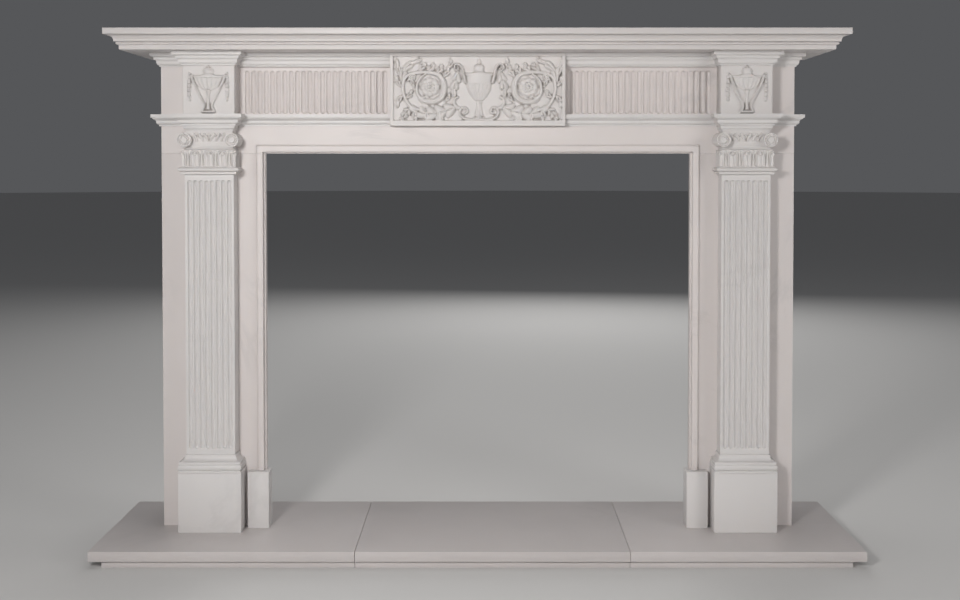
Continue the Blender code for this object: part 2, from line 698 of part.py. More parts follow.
def rosette(x, z, centre, radius, petals, high):
    """Gives a rosette: petals that dip between each other, round a boss."""
    away = np.hypot(x - centre[0], z - centre[1]) / radius
    turn = np.arctan2(z - centre[1], x - centre[0])
    edge = 0.88 + 0.12 * np.abs(np.cos(petals * turn / 2))
    dips = 0.7 + 0.3 * np.abs(np.cos(petals * turn / 2))
    ring = dips * np.sin(math.pi * np.clip(away / edge, 0, 1) ** 0.8)
    return np.maximum(high * ring, mound(x, z, centre, 0.3 * radius, 0.3 * radius, 1.1 * high))


def husks(x, z, top, bottom, half_width, count, high):
    """Gives a drop of husks, one under the other."""
    heights = np.zeros_like(x)
    step = (top[1] - bottom[1]) / count
    for number in range(count):
        t = (number + 0.5) / count
        place = (top[0] + (bottom[0] - top[0]) * t, top[1] + (bottom[1] - top[1]) * t)
        width = half_width * (0.7 + 0.3 * math.sin(math.pi * t))
        heights = np.maximum(heights, mound(x, z, place, width, 0.6 * step, high))
    return heights


def tablet_carving(x, z):
    """Gives the tablet's carving, in the sheet's millimetres: the same on both sides of the urn."""
    x, z = np.abs(x) / CARVING_SHEET, z / CARVING_SHEET
    half_height = (SHELF_LOW - FRIEZE_MOULDING_LOW) / 2
    field = (TABLET_SIDE / CARVING_SHEET - SIDE_BORDER, half_height / CARVING_SHEET - TOP_BORDER)
    bowl = [(6, -29), (13, -26), (21, -16), (30.5, 2), (33, 21), (33, 34), (36, 36), (36, 40)]
    parts = [
        turned(x, z, bowl, 0.42, 9),
        turned(x, z, [(16, 40), (13, 43), (13, 56), (8, 61), (3, 64), (4.5, 69), (0.5, 74)], 0.7),
        turned(x, z, [(13, -75), (11, -70), (6.5, -58), (5, -40), (8, -31), (6, -29)], 0.9),
        stem(x, z, [(34, 22), (37, 40), (42, 57), (50, 62), (59, 56), (58, 45), (50, 44)], (4, 3), 7),
        husks(x, z, (60, 42), (58, -22), 6.5, 5, 6),
        stem(x, z, [(6, -62), (20, -74), (40, -72), (51, -58), (42, -44), (30, -50), (33, -60)], (4, 3), 7),
        stem(x, z, RINCEAU, (5.5, 3.5), 7),
        rosette(x, z, (121, 8), 24, 8, 9),
        stem(x, z, [(51, -56), (56, -44), (62, -34)], (5, 2), 6),
    ]
    parts += [leaf(x, z, *ends, width, 6.5) for *ends, width in TABLET_LEAVES]
    relief = np.maximum.reduce(parts) - FIELD_SINK / CARVING_SHEET
    inside = (x < field[0]) & (z < field[1]) & (z > -field[1])
    return np.where(inside, relief, 0.0) * CARVING_SHEET


def urn_carving(x, z):
    """Gives the end block's carving, in the sheet's millimetres: an urn in a stand of curved straps."""
    x, z = np.abs(x) / CARVING_SHEET, z / CARVING_SHEET
    parts = [
        turned(x, z, [(7, -4), (20, 8), (29, 20), (36, 29), (37, 32), (34, 34)], 0.28, 8),
        turned(x, z, [(15, 34), (12, 36), (12, 46), (9, 50), (4, 53), (4, 56)], 0.7),
        turned(x, z, [(5, -42), (3.5, -20), (5, -8), (7, -4)], 0.9),
        stem(x, z, [(39, 30), (31, 10), (18, -14), (11, -33), (15, -50)], (2.6, 2.6), 6),
        stem(x, z, [(11, -50), (0, -51)], (3.5, 3.5), 6),
        husks(x, z, (46, 36), (46, -26), 4.2, 6, 4),
    ]
    half = (BLOCK_HALF / CARVING_SHEET - BLOCK_EDGE, FRIEZE_HEIGHT / 2 / CARVING_SHEET - BLOCK_EDGE)
    inside = (x < half[0]) & (np.abs(z) < half[1])
    return np.where(inside, np.maximum.reduce(parts), 0.0) * CARVING_SHEET


def carved_frieze():
    """Makes the tablet and the end blocks."""
    tablet_span = (FRIEZE_MOULDING_LOW + JOINT, SHELF_LOW)
    tablet = carved_block((-TABLET_SIDE, TABLET_SIDE), tablet_span, FACE - TABLET_PROUD, tablet_carving)
    ratio = TABLET_TRIANGLES / len(tablet.faces)
    thin(piece("urn_tablet", tablet, FACE_MARBLE), ratio)
    across = (AXIS - BLOCK_HALF, AXIS + BLOCK_HALF)
    block = carved_block(across, (FRIEZE_LOW + JOINT, FRIEZE_HIGH), BLOCK_FRONT, urn_carving)
    pair("urn_block", block, FACE_MARBLE, ratio=URN_BLOCK_TRIANGLES / len(block.faces))


def main():
    """Empties the scene and makes every piece."""
    for old in list(bpy.data.objects):
        bpy.data.objects.remove(old)
    hearth()
    leg_panels()
    foot_blocks()
    frieze_board()
    pilasters()
    mouldings()
    carved_frieze()
    mantel_shelf()


main()
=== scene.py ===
"""The looks of a neo-classical marble fireplace, shaped finely over its solids.

Metres, with +Z up. The front faces -Y, and left is the viewer's left. Paired pieces are shaped
on the right and mirrored to the left.
"""

import math

import bmesh
import bpy
import numpy as np
from mathutils import Matrix, Vector


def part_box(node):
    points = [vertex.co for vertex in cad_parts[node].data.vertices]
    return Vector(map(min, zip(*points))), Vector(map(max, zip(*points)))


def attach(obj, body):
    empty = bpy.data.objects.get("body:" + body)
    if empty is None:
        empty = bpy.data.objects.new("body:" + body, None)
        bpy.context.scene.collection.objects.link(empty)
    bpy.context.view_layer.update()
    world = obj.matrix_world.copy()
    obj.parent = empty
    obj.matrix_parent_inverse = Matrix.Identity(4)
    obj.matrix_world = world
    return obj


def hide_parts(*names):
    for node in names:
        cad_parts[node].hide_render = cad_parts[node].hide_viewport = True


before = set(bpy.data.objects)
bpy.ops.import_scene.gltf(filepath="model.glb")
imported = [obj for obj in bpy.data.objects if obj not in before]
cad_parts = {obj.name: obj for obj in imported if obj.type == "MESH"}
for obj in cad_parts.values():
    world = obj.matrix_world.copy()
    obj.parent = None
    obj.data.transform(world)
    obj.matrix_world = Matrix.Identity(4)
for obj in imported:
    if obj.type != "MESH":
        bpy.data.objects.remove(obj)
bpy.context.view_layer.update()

# Gap left where one piece meets another, the softened edge of a cut stone, and what counts as the same place
JOINT = 0.0003
ARRIS = 0.0007
SAME = 1e-6

# Mouldings from the bottom up. Each member is its shape, its height and how much further out it reaches.
# A torus bulges by its reach and comes back.
BASE_MOULDING = (
    ("fillet", 0.0055, 0.0175),
    ("fillet", 0.0015, -0.0030),
    ("torus", 0.0140, 0.0030),
    ("fillet", 0.0015, 0.0000),
    ("fillet", 0.0055, 0.0010),
    ("cavetto", 0.0110, -0.0125),
    ("fillet", 0.0050, 0.0000),
)
NECKING_RING = (
    ("fillet", 0.0050, 0.0080),
    ("fillet", 0.0010, -0.0015),
    ("torus", 0.0120, 0.0080),
)
CAPITAL_BODY = (
    ("fillet", 0.0420, -0.0010),
    ("cavetto", 0.0120, -0.0090),
    ("fillet", 0.0350, 0.0010),
)
ARCHITRAVE_MOULDING = (
    ("fillet", 0.0020, 0.0000),
    ("cavetto", 0.0040, 0.0030),
    ("fillet", 0.0070, 0.0000),
)
FRIEZE_MOULDING = (
    ("fillet", 0.0040, 0.0040),
    ("ovolo", 0.0060, 0.0060),
    ("fillet", 0.0020, 0.0000),
    ("cyma", 0.0090, 0.0080),
    ("fillet", 0.0080, 0.0030),
)
BED_MOULDING = (
    ("fillet", 0.0030, 0.0035),
    ("ovolo", 0.0055, 0.0045),
    ("fillet", 0.0020, 0.0010),
    ("cavetto", 0.0065, 0.0040),
    ("fillet", 0.0025, 0.0010),
    ("cavetto", 0.0050, 0.0045),
    ("fillet", 0.0080, 0.0035),
)
SHELF_MOULDING = (
    ("fillet", 0.0105, 0.0000),
    ("torus", 0.0080, 0.0060),
    ("fillet", 0.0015, 0.0100),
    ("cavetto", 0.0145, 0.0160),
    ("fillet", 0.0145, 0.0040),
)
CURVE_STEPS = 10

# The opening's fillet and rounded band, and the panels behind it
FILLET_WIDTH = 0.0045
FILLET_DEPTH = 0.006
BAND_WIDTH = 0.0115
BAND_PROUD = 0.008
BAND_ROUND = 0.006
PANEL_THICKNESS = 0.025

# Flutes. A list is the flat strip between two of them.
SHAFT_FLUTES = 8
SHAFT_MARGIN = 0.0061
SHAFT_LIST = 0.0025
SHAFT_FLUTE_END = 0.014
FRIEZE_RECESS = 0.012
FRIEZE_FLUTES = 23
FRIEZE_BLOCK_MARGIN = 0.0143
FRIEZE_TABLET_MARGIN = 0.0093
FRIEZE_LIST = 0.0026
FRIEZE_FLUTE_FOOT = 0.002
FRIEZE_FLUTE_HEAD = 0.0085
FLUTE_DEPTH = 0.0062
FLUTE_LIP = 0.0004
FLUTE_SIDES = 24
FLUTE_ANGLES = range(8, 81, 12)

# Places, from the solids. Those across are to the right of the middle.
LEG_LOW, LEG_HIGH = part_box("leg_panel_right")
SHAFT_LOW, SHAFT_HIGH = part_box("pilaster_shaft_right")
PLINTH_LOW, PLINTH_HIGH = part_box("pilaster_plinth_right")
FOOT_LOW, FOOT_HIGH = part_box("foot_block_right")
BOARD_LOW, BOARD_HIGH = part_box("frieze_board")
TABLET_LOW, TABLET_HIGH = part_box("urn_tablet")
BLOCK_LOW, BLOCK_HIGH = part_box("urn_block_right")
SHELF_LOW, SHELF_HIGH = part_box("mantel_shelf")
CAPITAL_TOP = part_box("pilaster_capital_right")[1].z
AXIS = (SHAFT_LOW.x + SHAFT_HIGH.x) / 2
SHAFT_HALF = (SHAFT_HIGH.x - SHAFT_LOW.x) / 2
SHAFT_FRONT = SHAFT_LOW.y
SEAT = SHAFT_HIGH.y
FACE = SEAT + JOINT
SUNK = FACE + FILLET_DEPTH
PANEL_BACK = FACE + PANEL_THICKNESS
WALL = LEG_HIGH.y
OPENING_SIDE = LEG_LOW.x
OPENING_TOP = LEG_HIGH.z
BAND_SIDE = OPENING_SIDE + FILLET_WIDTH
LEG_SIDE = LEG_HIGH.x
RETURN_SIDE = LEG_SIDE - PANEL_THICKNESS
FRIEZE_MOULDING_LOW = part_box("frieze_moulding_right")[0].z - JOINT
FRIEZE_LOW = BLOCK_LOW.z - JOINT
FRIEZE_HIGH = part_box("bed_moulding_right")[0].z - JOINT


# Marble

# Painted shade: the warm brown that crevices are darkened towards, and how far, in place of the shade that
# falls in them
CREVICE_SHADE = (0.19, 0.16, 0.13)
CREVICE_SHADE_STRENGTH = 0.6


def fill(tree, socket, value):
    """Gives a socket its value, or links it where the value is a socket too."""
    if isinstance(value, bpy.types.NodeSocket):
        tree.links.new(value, socket)
    else:
        socket.default_value = value


def node(tree, kind, settings=(), **inputs):
    """Adds a shader node with its properties and inputs. In an input's name, _ stands for a space."""
    made = tree.nodes.new(kind)
    for name, value in dict(settings).items():
        setattr(made, name, value)
    for name, value in inputs.items():
        fill(tree, made.inputs[name.replace("_", " ")], value)
    return made


def noise(tree, place, **inputs):
    """Gives a noise over a place."""
    return node(tree, "ShaderNodeTexNoise", Vector=place, **inputs).outputs["Fac"]


def computed(tree, operation, *values):
    """Works a number out from one or two others."""
    made = node(tree, "ShaderNodeMath", {"operation": operation})
    for socket, value in zip(made.inputs, values):
        fill(tree, socket, value)
    return made.outputs[0]


def graded(tree, value, low, high, start, end):
    """Grades a value between two limits."""
    limits = {"From_Min": low, "From_Max": high, "To_Min": start, "To_Max": end}
    return node(tree, "ShaderNodeMapRange", Value=value, **limits).outputs["Result"]


def blended(tree, share, first, second):
    """Blends two colours by a share."""
    made = node(tree, "ShaderNodeMix", {"data_type": "RGBA"})
    for socket, value in zip((made.inputs[0], made.inputs[6], made.inputs[7]), (share, first, second)):
        fill(tree, socket, (*value, 1.0) if isinstance(value, tuple) else value)
    return made.outputs[2]


def marble(pale, cloud, vein, veining, roughness, turn):
    """Makes a marble: a pale ground, soft clouds, broken veins, painted shade in crevices and a crystal
    grain.
    """
    stone = bpy.data.materials.new("marble")
    stone.use_nodes = True
    tree = stone.node_tree
    shader = tree.nodes["Principled BSDF"]
    place = node(tree, "ShaderNodeTexCoord").outputs["Object"]
    place = node(tree, "ShaderNodeMapping", Vector=place, Rotation=turn, Location=turn).outputs["Vector"]

    drift = noise(tree, place, Scale=2.3, Detail=4.0, Roughness=0.55)
    colour = blended(tree, graded(tree, drift, 0.35, 0.68, 0.0, 1.0), pale, cloud)

    # A vein follows the line where a noise crosses its middle, and only shows in patches.
    sheet = noise(tree, place, Scale=1.7, Detail=7.0, Roughness=0.62, Distortion=0.9)
    off_middle = computed(tree, "ABSOLUTE", computed(tree, "SUBTRACT", sheet, 0.5))
    line = graded(tree, off_middle, 0.0, 0.022, 1.0, 0.0)
    patches = graded(tree, noise(tree, place, Scale=3.1, Detail=2.0), 0.48, 0.66, 0.0, veining)
    colour = blended(tree, computed(tree, "MULTIPLY", line, patches), colour, vein)

    # Painted shade: the colour darkens towards a warm brown where the hollow attribute marks a crevice.
    hollow = node(tree, "ShaderNodeAttribute", {"attribute_name": "hollow"}).outputs["Fac"]
    colour = blended(tree, graded(tree, hollow, 0.0, 1.0, 0.0, CREVICE_SHADE_STRENGTH), colour, CREVICE_SHADE)
    tree.links.new(colour, shader.inputs["Base Color"])

    polish = noise(tree, place, Scale=9.0, Detail=3.0)
    polish = graded(tree, polish, 0.3, 0.7, roughness - 0.02, roughness + 0.04)
    tree.links.new(polish, shader.inputs["Roughness"])
    grain = noise(tree, place, Scale=420.0, Detail=2.0)
    bump = node(tree, "ShaderNodeBump", Height=grain, Strength=0.06, Distance=0.0004)
    tree.links.new(bump.outputs["Normal"], shader.inputs["Normal"])
    shader.inputs["Subsurface Weight"].default_value = 0.12
    shader.inputs["Subsurface Radius"].default_value = (1.0, 0.85, 0.7)
    shader.inputs["Subsurface Scale"].default_value = 0.004
    shader.inputs["IOR"].default_value = 1.48
    return stone


# Stones by their slot. The turn is that of the quarried block, so that no two stones have the same veins.
STONES = {
    "pilaster_marble": marble(
        pale=(0.665, 0.645, 0.635), cloud=(0.64, 0.622, 0.614), vein=(0.5, 0.485, 0.48),
        veining=0.25, roughness=0.44, turn=(0.4, 0.2, 0.9),
    ),
    "backing_marble": marble(
        pale=(0.68, 0.636, 0.62), cloud=(0.655, 0.61, 0.595), vein=(0.5, 0.475, 0.47),
        veining=0.4, roughness=0.46, turn=(1.3, 0.7, 0.2),
    ),
    "carved_marble": marble(
        pale=(0.665, 0.638, 0.625), cloud=(0.645, 0.622, 0.61), vein=(0.52, 0.505, 0.5),
        veining=0.15, roughness=0.5, turn=(2.2, 0.3, 1.4),
    ),
    "shelf_marble": marble(
        pale=(0.665, 0.632, 0.62), cloud=(0.64, 0.608, 0.597), vein=(0.48, 0.465, 0.46),
        veining=0.3, roughness=0.44, turn=(0.9, 1.9, 0.5),
    ),
    "hearth_marble": marble(
        pale=(0.575, 0.54, 0.53), cloud=(0.53, 0.497, 0.488), vein=(0.4, 0.38, 0.375),
        veining=0.2, roughness=0.34, turn=(1.8, 1.1, 2.3),
    ),
}


# Making pieces


def piece(name, bm, stone, painted_shade=None, softened=True, kept=()):
    """Makes a node's finished piece: it rides on the body, stands for the node and takes its slot."""
    bmesh.ops.recalc_face_normals(bm, faces=bm.faces)
    if softened:
        soften(bm, kept)
    mesh = bpy.data.meshes.new(name + "_stone")
    bm.to_mesh(mesh)
    bm.free()
    mesh.materials.append(STONES[stone])
    # The painted crevice shade rides on the mesh as its hollow attribute.
    if painted_shade is not None:
        mesh.attributes.new("hollow", "FLOAT", "POINT").data.foreach_set("value", painted_shade.astype(np.float32))
    made = bpy.data.objects.new(name + "_stone", mesh)
    bpy.context.collection.objects.link(made)
    if softened:
        mesh.shade_smooth()
        mesh.set_sharp_from_angle(angle=math.radians(30))
    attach(made, "root")
    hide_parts(name)


def soften(bm, kept):
    """Rounds a cut stone's arrises, but for those at the kept levels, where it meets its neighbour."""
    edges = []
    for edge in bm.edges:
        closed = len(edge.link_faces) == 2 and edge.calc_face_angle() > math.radians(35)
        joined = any(all(abs(vert.co.z - level) < JOINT for vert in edge.verts) for level in kept)
        if closed and not joined:
            edges.append(edge)
    bmesh.ops.bevel(
        bm, geom=edges, offset=ARRIS, offset_type="OFFSET", segments=2, profile=0.5, affect="EDGES",
        clamp_overlap=True, material=-1,
    )


def pair(name, bm, stone, painted_shade=None, softened=True, kept=()):
    """Makes a piece on the right and its mirror on the left."""
    fellow = bm.copy()
    bmesh.ops.scale(fellow, vec=(-1, 1, 1), verts=fellow.verts)
    piece(name + "_right", bm, stone, painted_shade, softened, kept)
    piece(name + "_left", fellow, stone, painted_shade, softened, kept)


def profile(members):
    """Lists a moulding's points (out, up) from its members."""
    out = up = 0.0
    points = []
    for shape, height, reach in members:
        if shape == "fillet":
            out += reach
            steps = [(out, up), (out, up + height)]
        else:
            shares = [curve_share(shape, reach, step / CURVE_STEPS) for step in range(CURVE_STEPS + 1)]
            steps = [(out + reach * a, up + height * b) for a, b in shares]
            out += 0.0 if shape == "torus" else reach
        points += [step for step in steps if not points or math.dist(step, points[-1]) > SAME]
        up += height
    return points


def curve_share(shape, reach, t):
    """Gives how far out and how far up a curved member is, as shares, at t from its bottom to its top."""
    if shape == "cyma":
        return t - math.sin(2 * math.pi * t) / (2 * math.pi), t
    if shape == "torus":
        return math.sin(math.pi * t), (1 - math.cos(math.pi * t)) / 2
    sine, rest = math.sin(math.pi / 2 * t), 1 - math.cos(math.pi / 2 * t)
    return (sine, rest) if (shape == "ovolo") == (reach > 0) else (rest, sine)


def box(x_span, y_span, z_span):
    """Makes a bmesh of one box between three pairs of limits."""
    bm = bmesh.new()
    add_box(bm, x_span, y_span, z_span)
    return bm


def add_box(bm, x_span, y_span, z_span):
    """Adds a box between three pairs of limits."""
    for vert in bmesh.ops.create_cube(bm, size=1.0)["verts"]:
        for axis, (low, high) in enumerate((x_span, y_span, z_span)):
            vert.co[axis] = (low + high) / 2 + vert.co[axis] * (high - low)


def add_loft(bm, rings):
    """Raises a closed outline through its rings, each a list of as many (x, y, z) places."""
    face = bm.faces.new([bm.verts.new(place) for place in rings[0]])
    for ring in rings[1:]:
        grown = bmesh.ops.extrude_face_region(bm, geom=[face, *face.edges, *face.verts])["geom"]
        face = next(item for item in grown if isinstance(item, bmesh.types.BMFace))
        for vert, place in zip(face.verts, ring):
            vert.co = place


def loft(rings):
    """Makes a bmesh of one loft."""
    bm = bmesh.new()
    add_loft(bm, rings)
    return bm


def verts_of(geom):
    """Picks the vertices out of what an operator returns."""
    return [item for item in geom if isinstance(item, bmesh.types.BMVert)]


def edges_of(geom):
    """Picks the edges out of what an operator returns."""
    return [item for item in geom if isinstance(item, bmesh.types.BMEdge)]


def outlined(bm, corners, y):
    """Adds a closed outline of (x, z) corners in a plane that faces the front, and returns its edges."""
    verts = [bm.verts.new((x, y, z)) for x, z in corners]
    return [bm.edges.new(ends) for ends in zip(verts, verts[1:] + verts[:1])]


def pushed(bm, edges, y):
    """Extrudes an outline to another plane and returns its new edges."""
    grown = bmesh.ops.extrude_edge_only(bm, edges=edges)["geom"]
    for vert in verts_of(grown):
        vert.co.y = y
    return edges_of(grown)


def set_out(path, out):
    """Moves an open path of right-angled runs out to its left, with its ends kept square."""
    normals = []
    for (x0, y0), (x1, y1) in zip(path, path[1:]):
        length = math.hypot(x1 - x0, y1 - y0)
        normals.append(((y0 - y1) / length, (x1 - x0) / length))
    turns = [(a[0] + b[0], a[1] + b[1]) for a, b in zip(normals, normals[1:])]
    moves = [normals[0], *turns, normals[-1]]
    return [(x + out * nx, y + out * ny) for (x, y), (nx, ny) in zip(path, moves)]


def moulding(path, back, members, low):
    """Makes a moulded course: its path in plan, set out by the profile, closed by the places at its back."""
    rings = []
    for out, up in profile(members):
        rings.append([(x, y, low + max(up, JOINT)) for x, y in set_out(path, out) + back])
    return loft(rings)


# Plain and moulded pieces

# The end blocks' front, in line with the top member of the block under them
BLOCK_FRONT = SHAFT_FRONT - profile(ARCHITRAVE_MOULDING)[-1][0]


def block_path(half, front):
    """Gives the plan of a block on the pilaster's axis: its outer side, front and inner side."""
    return [(AXIS + half, SEAT), (AXIS + half, front), (AXIS - half, front), (AXIS - half, SEAT)]


def hearth():
    """Lays the slabs and the course under them."""
    for side in ("left", "centre", "right"):
        for course in ("hearth_slab_", "hearth_course_"):
            low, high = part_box(course + side)
            piece(course + side, box(*zip(low, high)), "hearth_marble")


def band_section():
    """Lists the opening's band from its inner side out, as (distance from the opening, how proud)."""
    flat_end = FILLET_WIDTH + BAND_WIDTH
    turns = [math.pi / 2 * step / CURVE_STEPS for step in range(CURVE_STEPS + 1)]
    rounded_edge = [(flat_end + BAND_ROUND * math.sin(turn), BAND_PROUD * math.cos(turn)) for turn in turns]
    return [(FILLET_WIDTH, BAND_PROUD), *rounded_edge]


def leg_panels():
    """Makes the leg backings, each notched at its foot for the foot block."""
    fillet = [(OPENING_SIDE, SUNK), (BAND_SIDE, SUNK)]
    band = [(OPENING_SIDE + across, FACE - proud) for across, proud in band_section()]
    notch = FOOT_HIGH.x + JOINT
    rest = [
        (LEG_SIDE, FACE), (LEG_SIDE, WALL), (RETURN_SIDE, WALL), (RETURN_SIDE, PANEL_BACK),
        (OPENING_SIDE, PANEL_BACK),
    ]
    # Both plans have as many places, so that one is raised into the other.
    whole = fillet + band + [(notch, FACE), (notch, FACE)] + rest
    notched = [(x, SUNK + JOINT) for x, _ in fillet + band] + [(notch, SUNK + JOINT), (notch, FACE)] + rest
    low, step = LEG_LOW.z, FOOT_HIGH.z + JOINT
    levels = ((notched, low), (notched, step), (whole, step), (whole, OPENING_TOP))
    bm = loft([[(x, y, z) for x, y in plan] for plan, z in levels])
    bmesh.ops.remove_doubles(bm, verts=bm.verts, dist=SAME)
    pair("leg_panel", bm, "backing_marble", kept=(OPENING_TOP,))


def foot_blocks():
    """Makes the blocks at the foot of the opening's band."""
    edge = OPENING_SIDE - JOINT
    plan = [
        (FOOT_LOW.x, FOOT_LOW.y), (FOOT_HIGH.x, FOOT_LOW.y), (FOOT_HIGH.x, SUNK), (edge, SUNK),
        (edge, PANEL_BACK), (FOOT_LOW.x, PANEL_BACK),
    ]
    rings = [[(x, y, z) for x, y in plan] for z in (FOOT_LOW.z, FOOT_HIGH.z)]
    pair("foot_block", loft(rings), "pilaster_marble")


def add_flute(bm, outline, centre, ends, half):
    """Sinks a round-ended flute from its outline: a small lip, then a round hollow."""
    edges = {edge for vert in outline for edge in vert.link_edges if edge.is_boundary or not edge.link_faces}
    turns = [math.radians(angle) for angle in FLUTE_ANGLES]
    levels = [(half - FLUTE_LIP, FLUTE_LIP)]
    levels += [((half - FLUTE_LIP) * math.cos(turn), FLUTE_DEPTH * math.sin(turn)) for turn in turns]
    width = half
    face_y = outline[0].co.y
    for wide, deep in levels:
        grown = bmesh.ops.extrude_edge_only(bm, edges=list(edges))["geom"]
        edges = edges_of(grown)
        for vert in verts_of(grown):
            middle = ends[0] if vert.co.z < sum(ends) / 2 else ends[1]
            vert.co.x = centre + (vert.co.x - centre) * wide / width
            vert.co.z = middle + (vert.co.z - middle) * wide / width
            vert.co.y = face_y + deep
        width = wide
    bmesh.ops.edgeloop_fill(bm, edges=edges)


def add_fluted_field(bm, rim, x_span, z_span, count, gap, y):
    """Fills a flat field inside its rim and sinks a row of flutes in it."""
    left, right = x_span
    pitch = (right - left + gap) / count
    half = (pitch - gap) / 2
    ends = (z_span[0] + half, z_span[1] - half)
    upright = Matrix.Rotation(math.pi / 2, 4, "X") @ Matrix.Rotation(math.pi / FLUTE_SIDES, 4, "Z")
    outlines = []
    for number in range(count):
        centre = left + half + number * pitch
        place = Matrix.Translation((centre, y, 0)) @ upright
        verts = bmesh.ops.create_circle(bm, segments=FLUTE_SIDES, radius=half, matrix=place)["verts"]
        for vert in verts:
            vert.co.z += ends[0] if vert.co.z < 0 else ends[1]
        outlines.append((centre, verts))
    edges = {edge for _, verts in outlines for vert in verts for edge in vert.link_edges}
    bmesh.ops.triangle_fill(bm, use_beauty=True, edges=list(edges | set(rim)))
    before = set(bm.faces)
    for centre, verts in outlines:
        add_flute(bm, verts, centre, ends, half)
    for face in set(bm.faces) - before:
        face.smooth = True


def pilaster_shafts():
    """Makes the fluted shafts."""
    bm = bmesh.new()
    low, high = SHAFT_LOW, SHAFT_HIGH
    rim = outlined(bm, [(low.x, low.z), (high.x, low.z), (high.x, high.z), (low.x, high.z)], SHAFT_FRONT)
    x_span = (low.x + SHAFT_MARGIN, high.x - SHAFT_MARGIN)
    z_span = (low.z - JOINT + SHAFT_FLUTE_END, high.z - SHAFT_FLUTE_END)
    add_fluted_field(bm, rim, x_span, z_span, SHAFT_FLUTES, SHAFT_LIST, SHAFT_FRONT)
    bmesh.ops.edgeloop_fill(bm, edges=pushed(bm, rim, SEAT))
    pair("pilaster_shaft", bm, "pilaster_marble", softened=False)


def frieze_board():
    """Makes the board over the opening, with its recessed fluted fields, returns and the opening's band."""
    bm = bmesh.new()
    low, high = BOARD_LOW.z, BOARD_HIGH.z
    band_low = OPENING_TOP + FILLET_WIDTH
    rim = outlined(bm, [
        (-LEG_SIDE, low), (-RETURN_SIDE, low), (-BAND_SIDE, low), (-BAND_SIDE, band_low),
        (BAND_SIDE, band_low), (BAND_SIDE, low), (RETURN_SIDE, low), (LEG_SIDE, low),
        (LEG_SIDE, high), (RETURN_SIDE, high), (-RETURN_SIDE, high), (-LEG_SIDE, high),
    ], FACE)
    add_frieze_fields(bm, rim)
    add_returns(bm, pushed(bm, rim, PANEL_BACK))
    add_box(bm, (-BAND_SIDE, BAND_SIDE), (SUNK, PANEL_BACK), (low, band_low))
    add_lintel_band(bm)
    piece("frieze_board", bm, "backing_marble", softened=False)


def add_frieze_fields(bm, rim):
    """Fills the board's front inside its rim, round the two recessed fields of flutes."""
    spans = ((-BLOCK_LOW.x, TABLET_LOW.x), (TABLET_HIGH.x, BLOCK_LOW.x))
    margins = ((FRIEZE_BLOCK_MARGIN, FRIEZE_TABLET_MARGIN), (FRIEZE_TABLET_MARGIN, FRIEZE_BLOCK_MARGIN))
    fields = []
    for left, right in spans:
        sides = [(left, FRIEZE_LOW), (right, FRIEZE_LOW), (right, FRIEZE_HIGH), (left, FRIEZE_HIGH)]
        fields.append(outlined(bm, sides, FACE))
    bmesh.ops.triangle_fill(bm, use_beauty=True, edges=[*rim, *fields[0], *fields[1]])
    recess_y = FACE + FRIEZE_RECESS
    z_span = (FRIEZE_LOW + FRIEZE_FLUTE_FOOT, FRIEZE_HIGH - FRIEZE_FLUTE_HEAD)
    for (left, right), (left_margin, right_margin), edges in zip(spans, margins, fields):
        recess = pushed(bm, edges, recess_y)
        x_span = (left + left_margin, right - right_margin)
        add_fluted_field(bm, recess, x_span, z_span, FRIEZE_FLUTES, FRIEZE_LIST, recess_y)


def add_returns(bm, behind):
    """Closes the board's back and extrudes its two ends to the wall."""
    verts = {vert for edge in behind for vert in edge.verts}
    for side in (-RETURN_SIDE, RETURN_SIDE):
        behind.append(bm.edges.new([vert for vert in verts if abs(vert.co.x - side) < SAME]))
    for face in bmesh.ops.edgenet_fill(bm, edges=behind)["faces"]:
        if abs(face.calc_center_median().x) > RETURN_SIDE:
            grown = bmesh.ops.extrude_face_region(bm, geom=[face, *face.edges, *face.verts])["geom"]
            for vert in verts_of(grown):
                vert.co.y = WALL


def add_lintel_band(bm):
    """Adds the opening's band over the lintel, mitred at both corners down to the legs' bands."""
    section = band_section()
    closed = section + [(section[-1][0], -JOINT), (section[0][0], -JOINT)]
    rings = []
    for side, raised in ((1, False), (1, True), (-1, True), (-1, False)):
        ring = []
        for across, proud in closed:
            z = OPENING_TOP + (across if raised else JOINT)
            ring.append((side * (OPENING_SIDE + across), FACE - proud, z))
        rings.append(ring)
    add_loft(bm, rings)


def mouldings():
    """Makes the plinths, base mouldings, architrave blocks and the frieze's two moulded courses."""
    pair("pilaster_plinth", box(*zip(PLINTH_LOW, PLINTH_HIGH)), "pilaster_marble")
    shaft_path = block_path(SHAFT_HALF, SHAFT_FRONT)
    pair("pilaster_base", moulding(shaft_path, [], BASE_MOULDING, PLINTH_HIGH.z), "pilaster_marble")
    pair("architrave_block", moulding(shaft_path, [], ARCHITRAVE_MOULDING, CAPITAL_TOP), "pilaster_marble")
    beside_leg = LEG_SIDE + JOINT
    for name, members, low in (
        ("frieze_moulding", FRIEZE_MOULDING, FRIEZE_MOULDING_LOW),
        ("bed_moulding", BED_MOULDING, FRIEZE_HIGH),
    ):
        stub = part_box(name + "_right")[0].x
        block = block_path(BLOCK_HIGH.x - AXIS, BLOCK_FRONT)
        around = [(beside_leg, WALL), (beside_leg, SEAT), *block, (stub, SEAT)]
        back = [(stub, SEAT), (beside_leg, SEAT), (beside_leg, WALL)]
        pair(name, moulding(around, back, members, low), "pilaster_marble")
        run = [(stub - JOINT, SEAT), (TABLET_HIGH.x + JOINT, SEAT)]
        pair(name + "_run", moulding(run, run[::-1], members, low), "pilaster_marble")


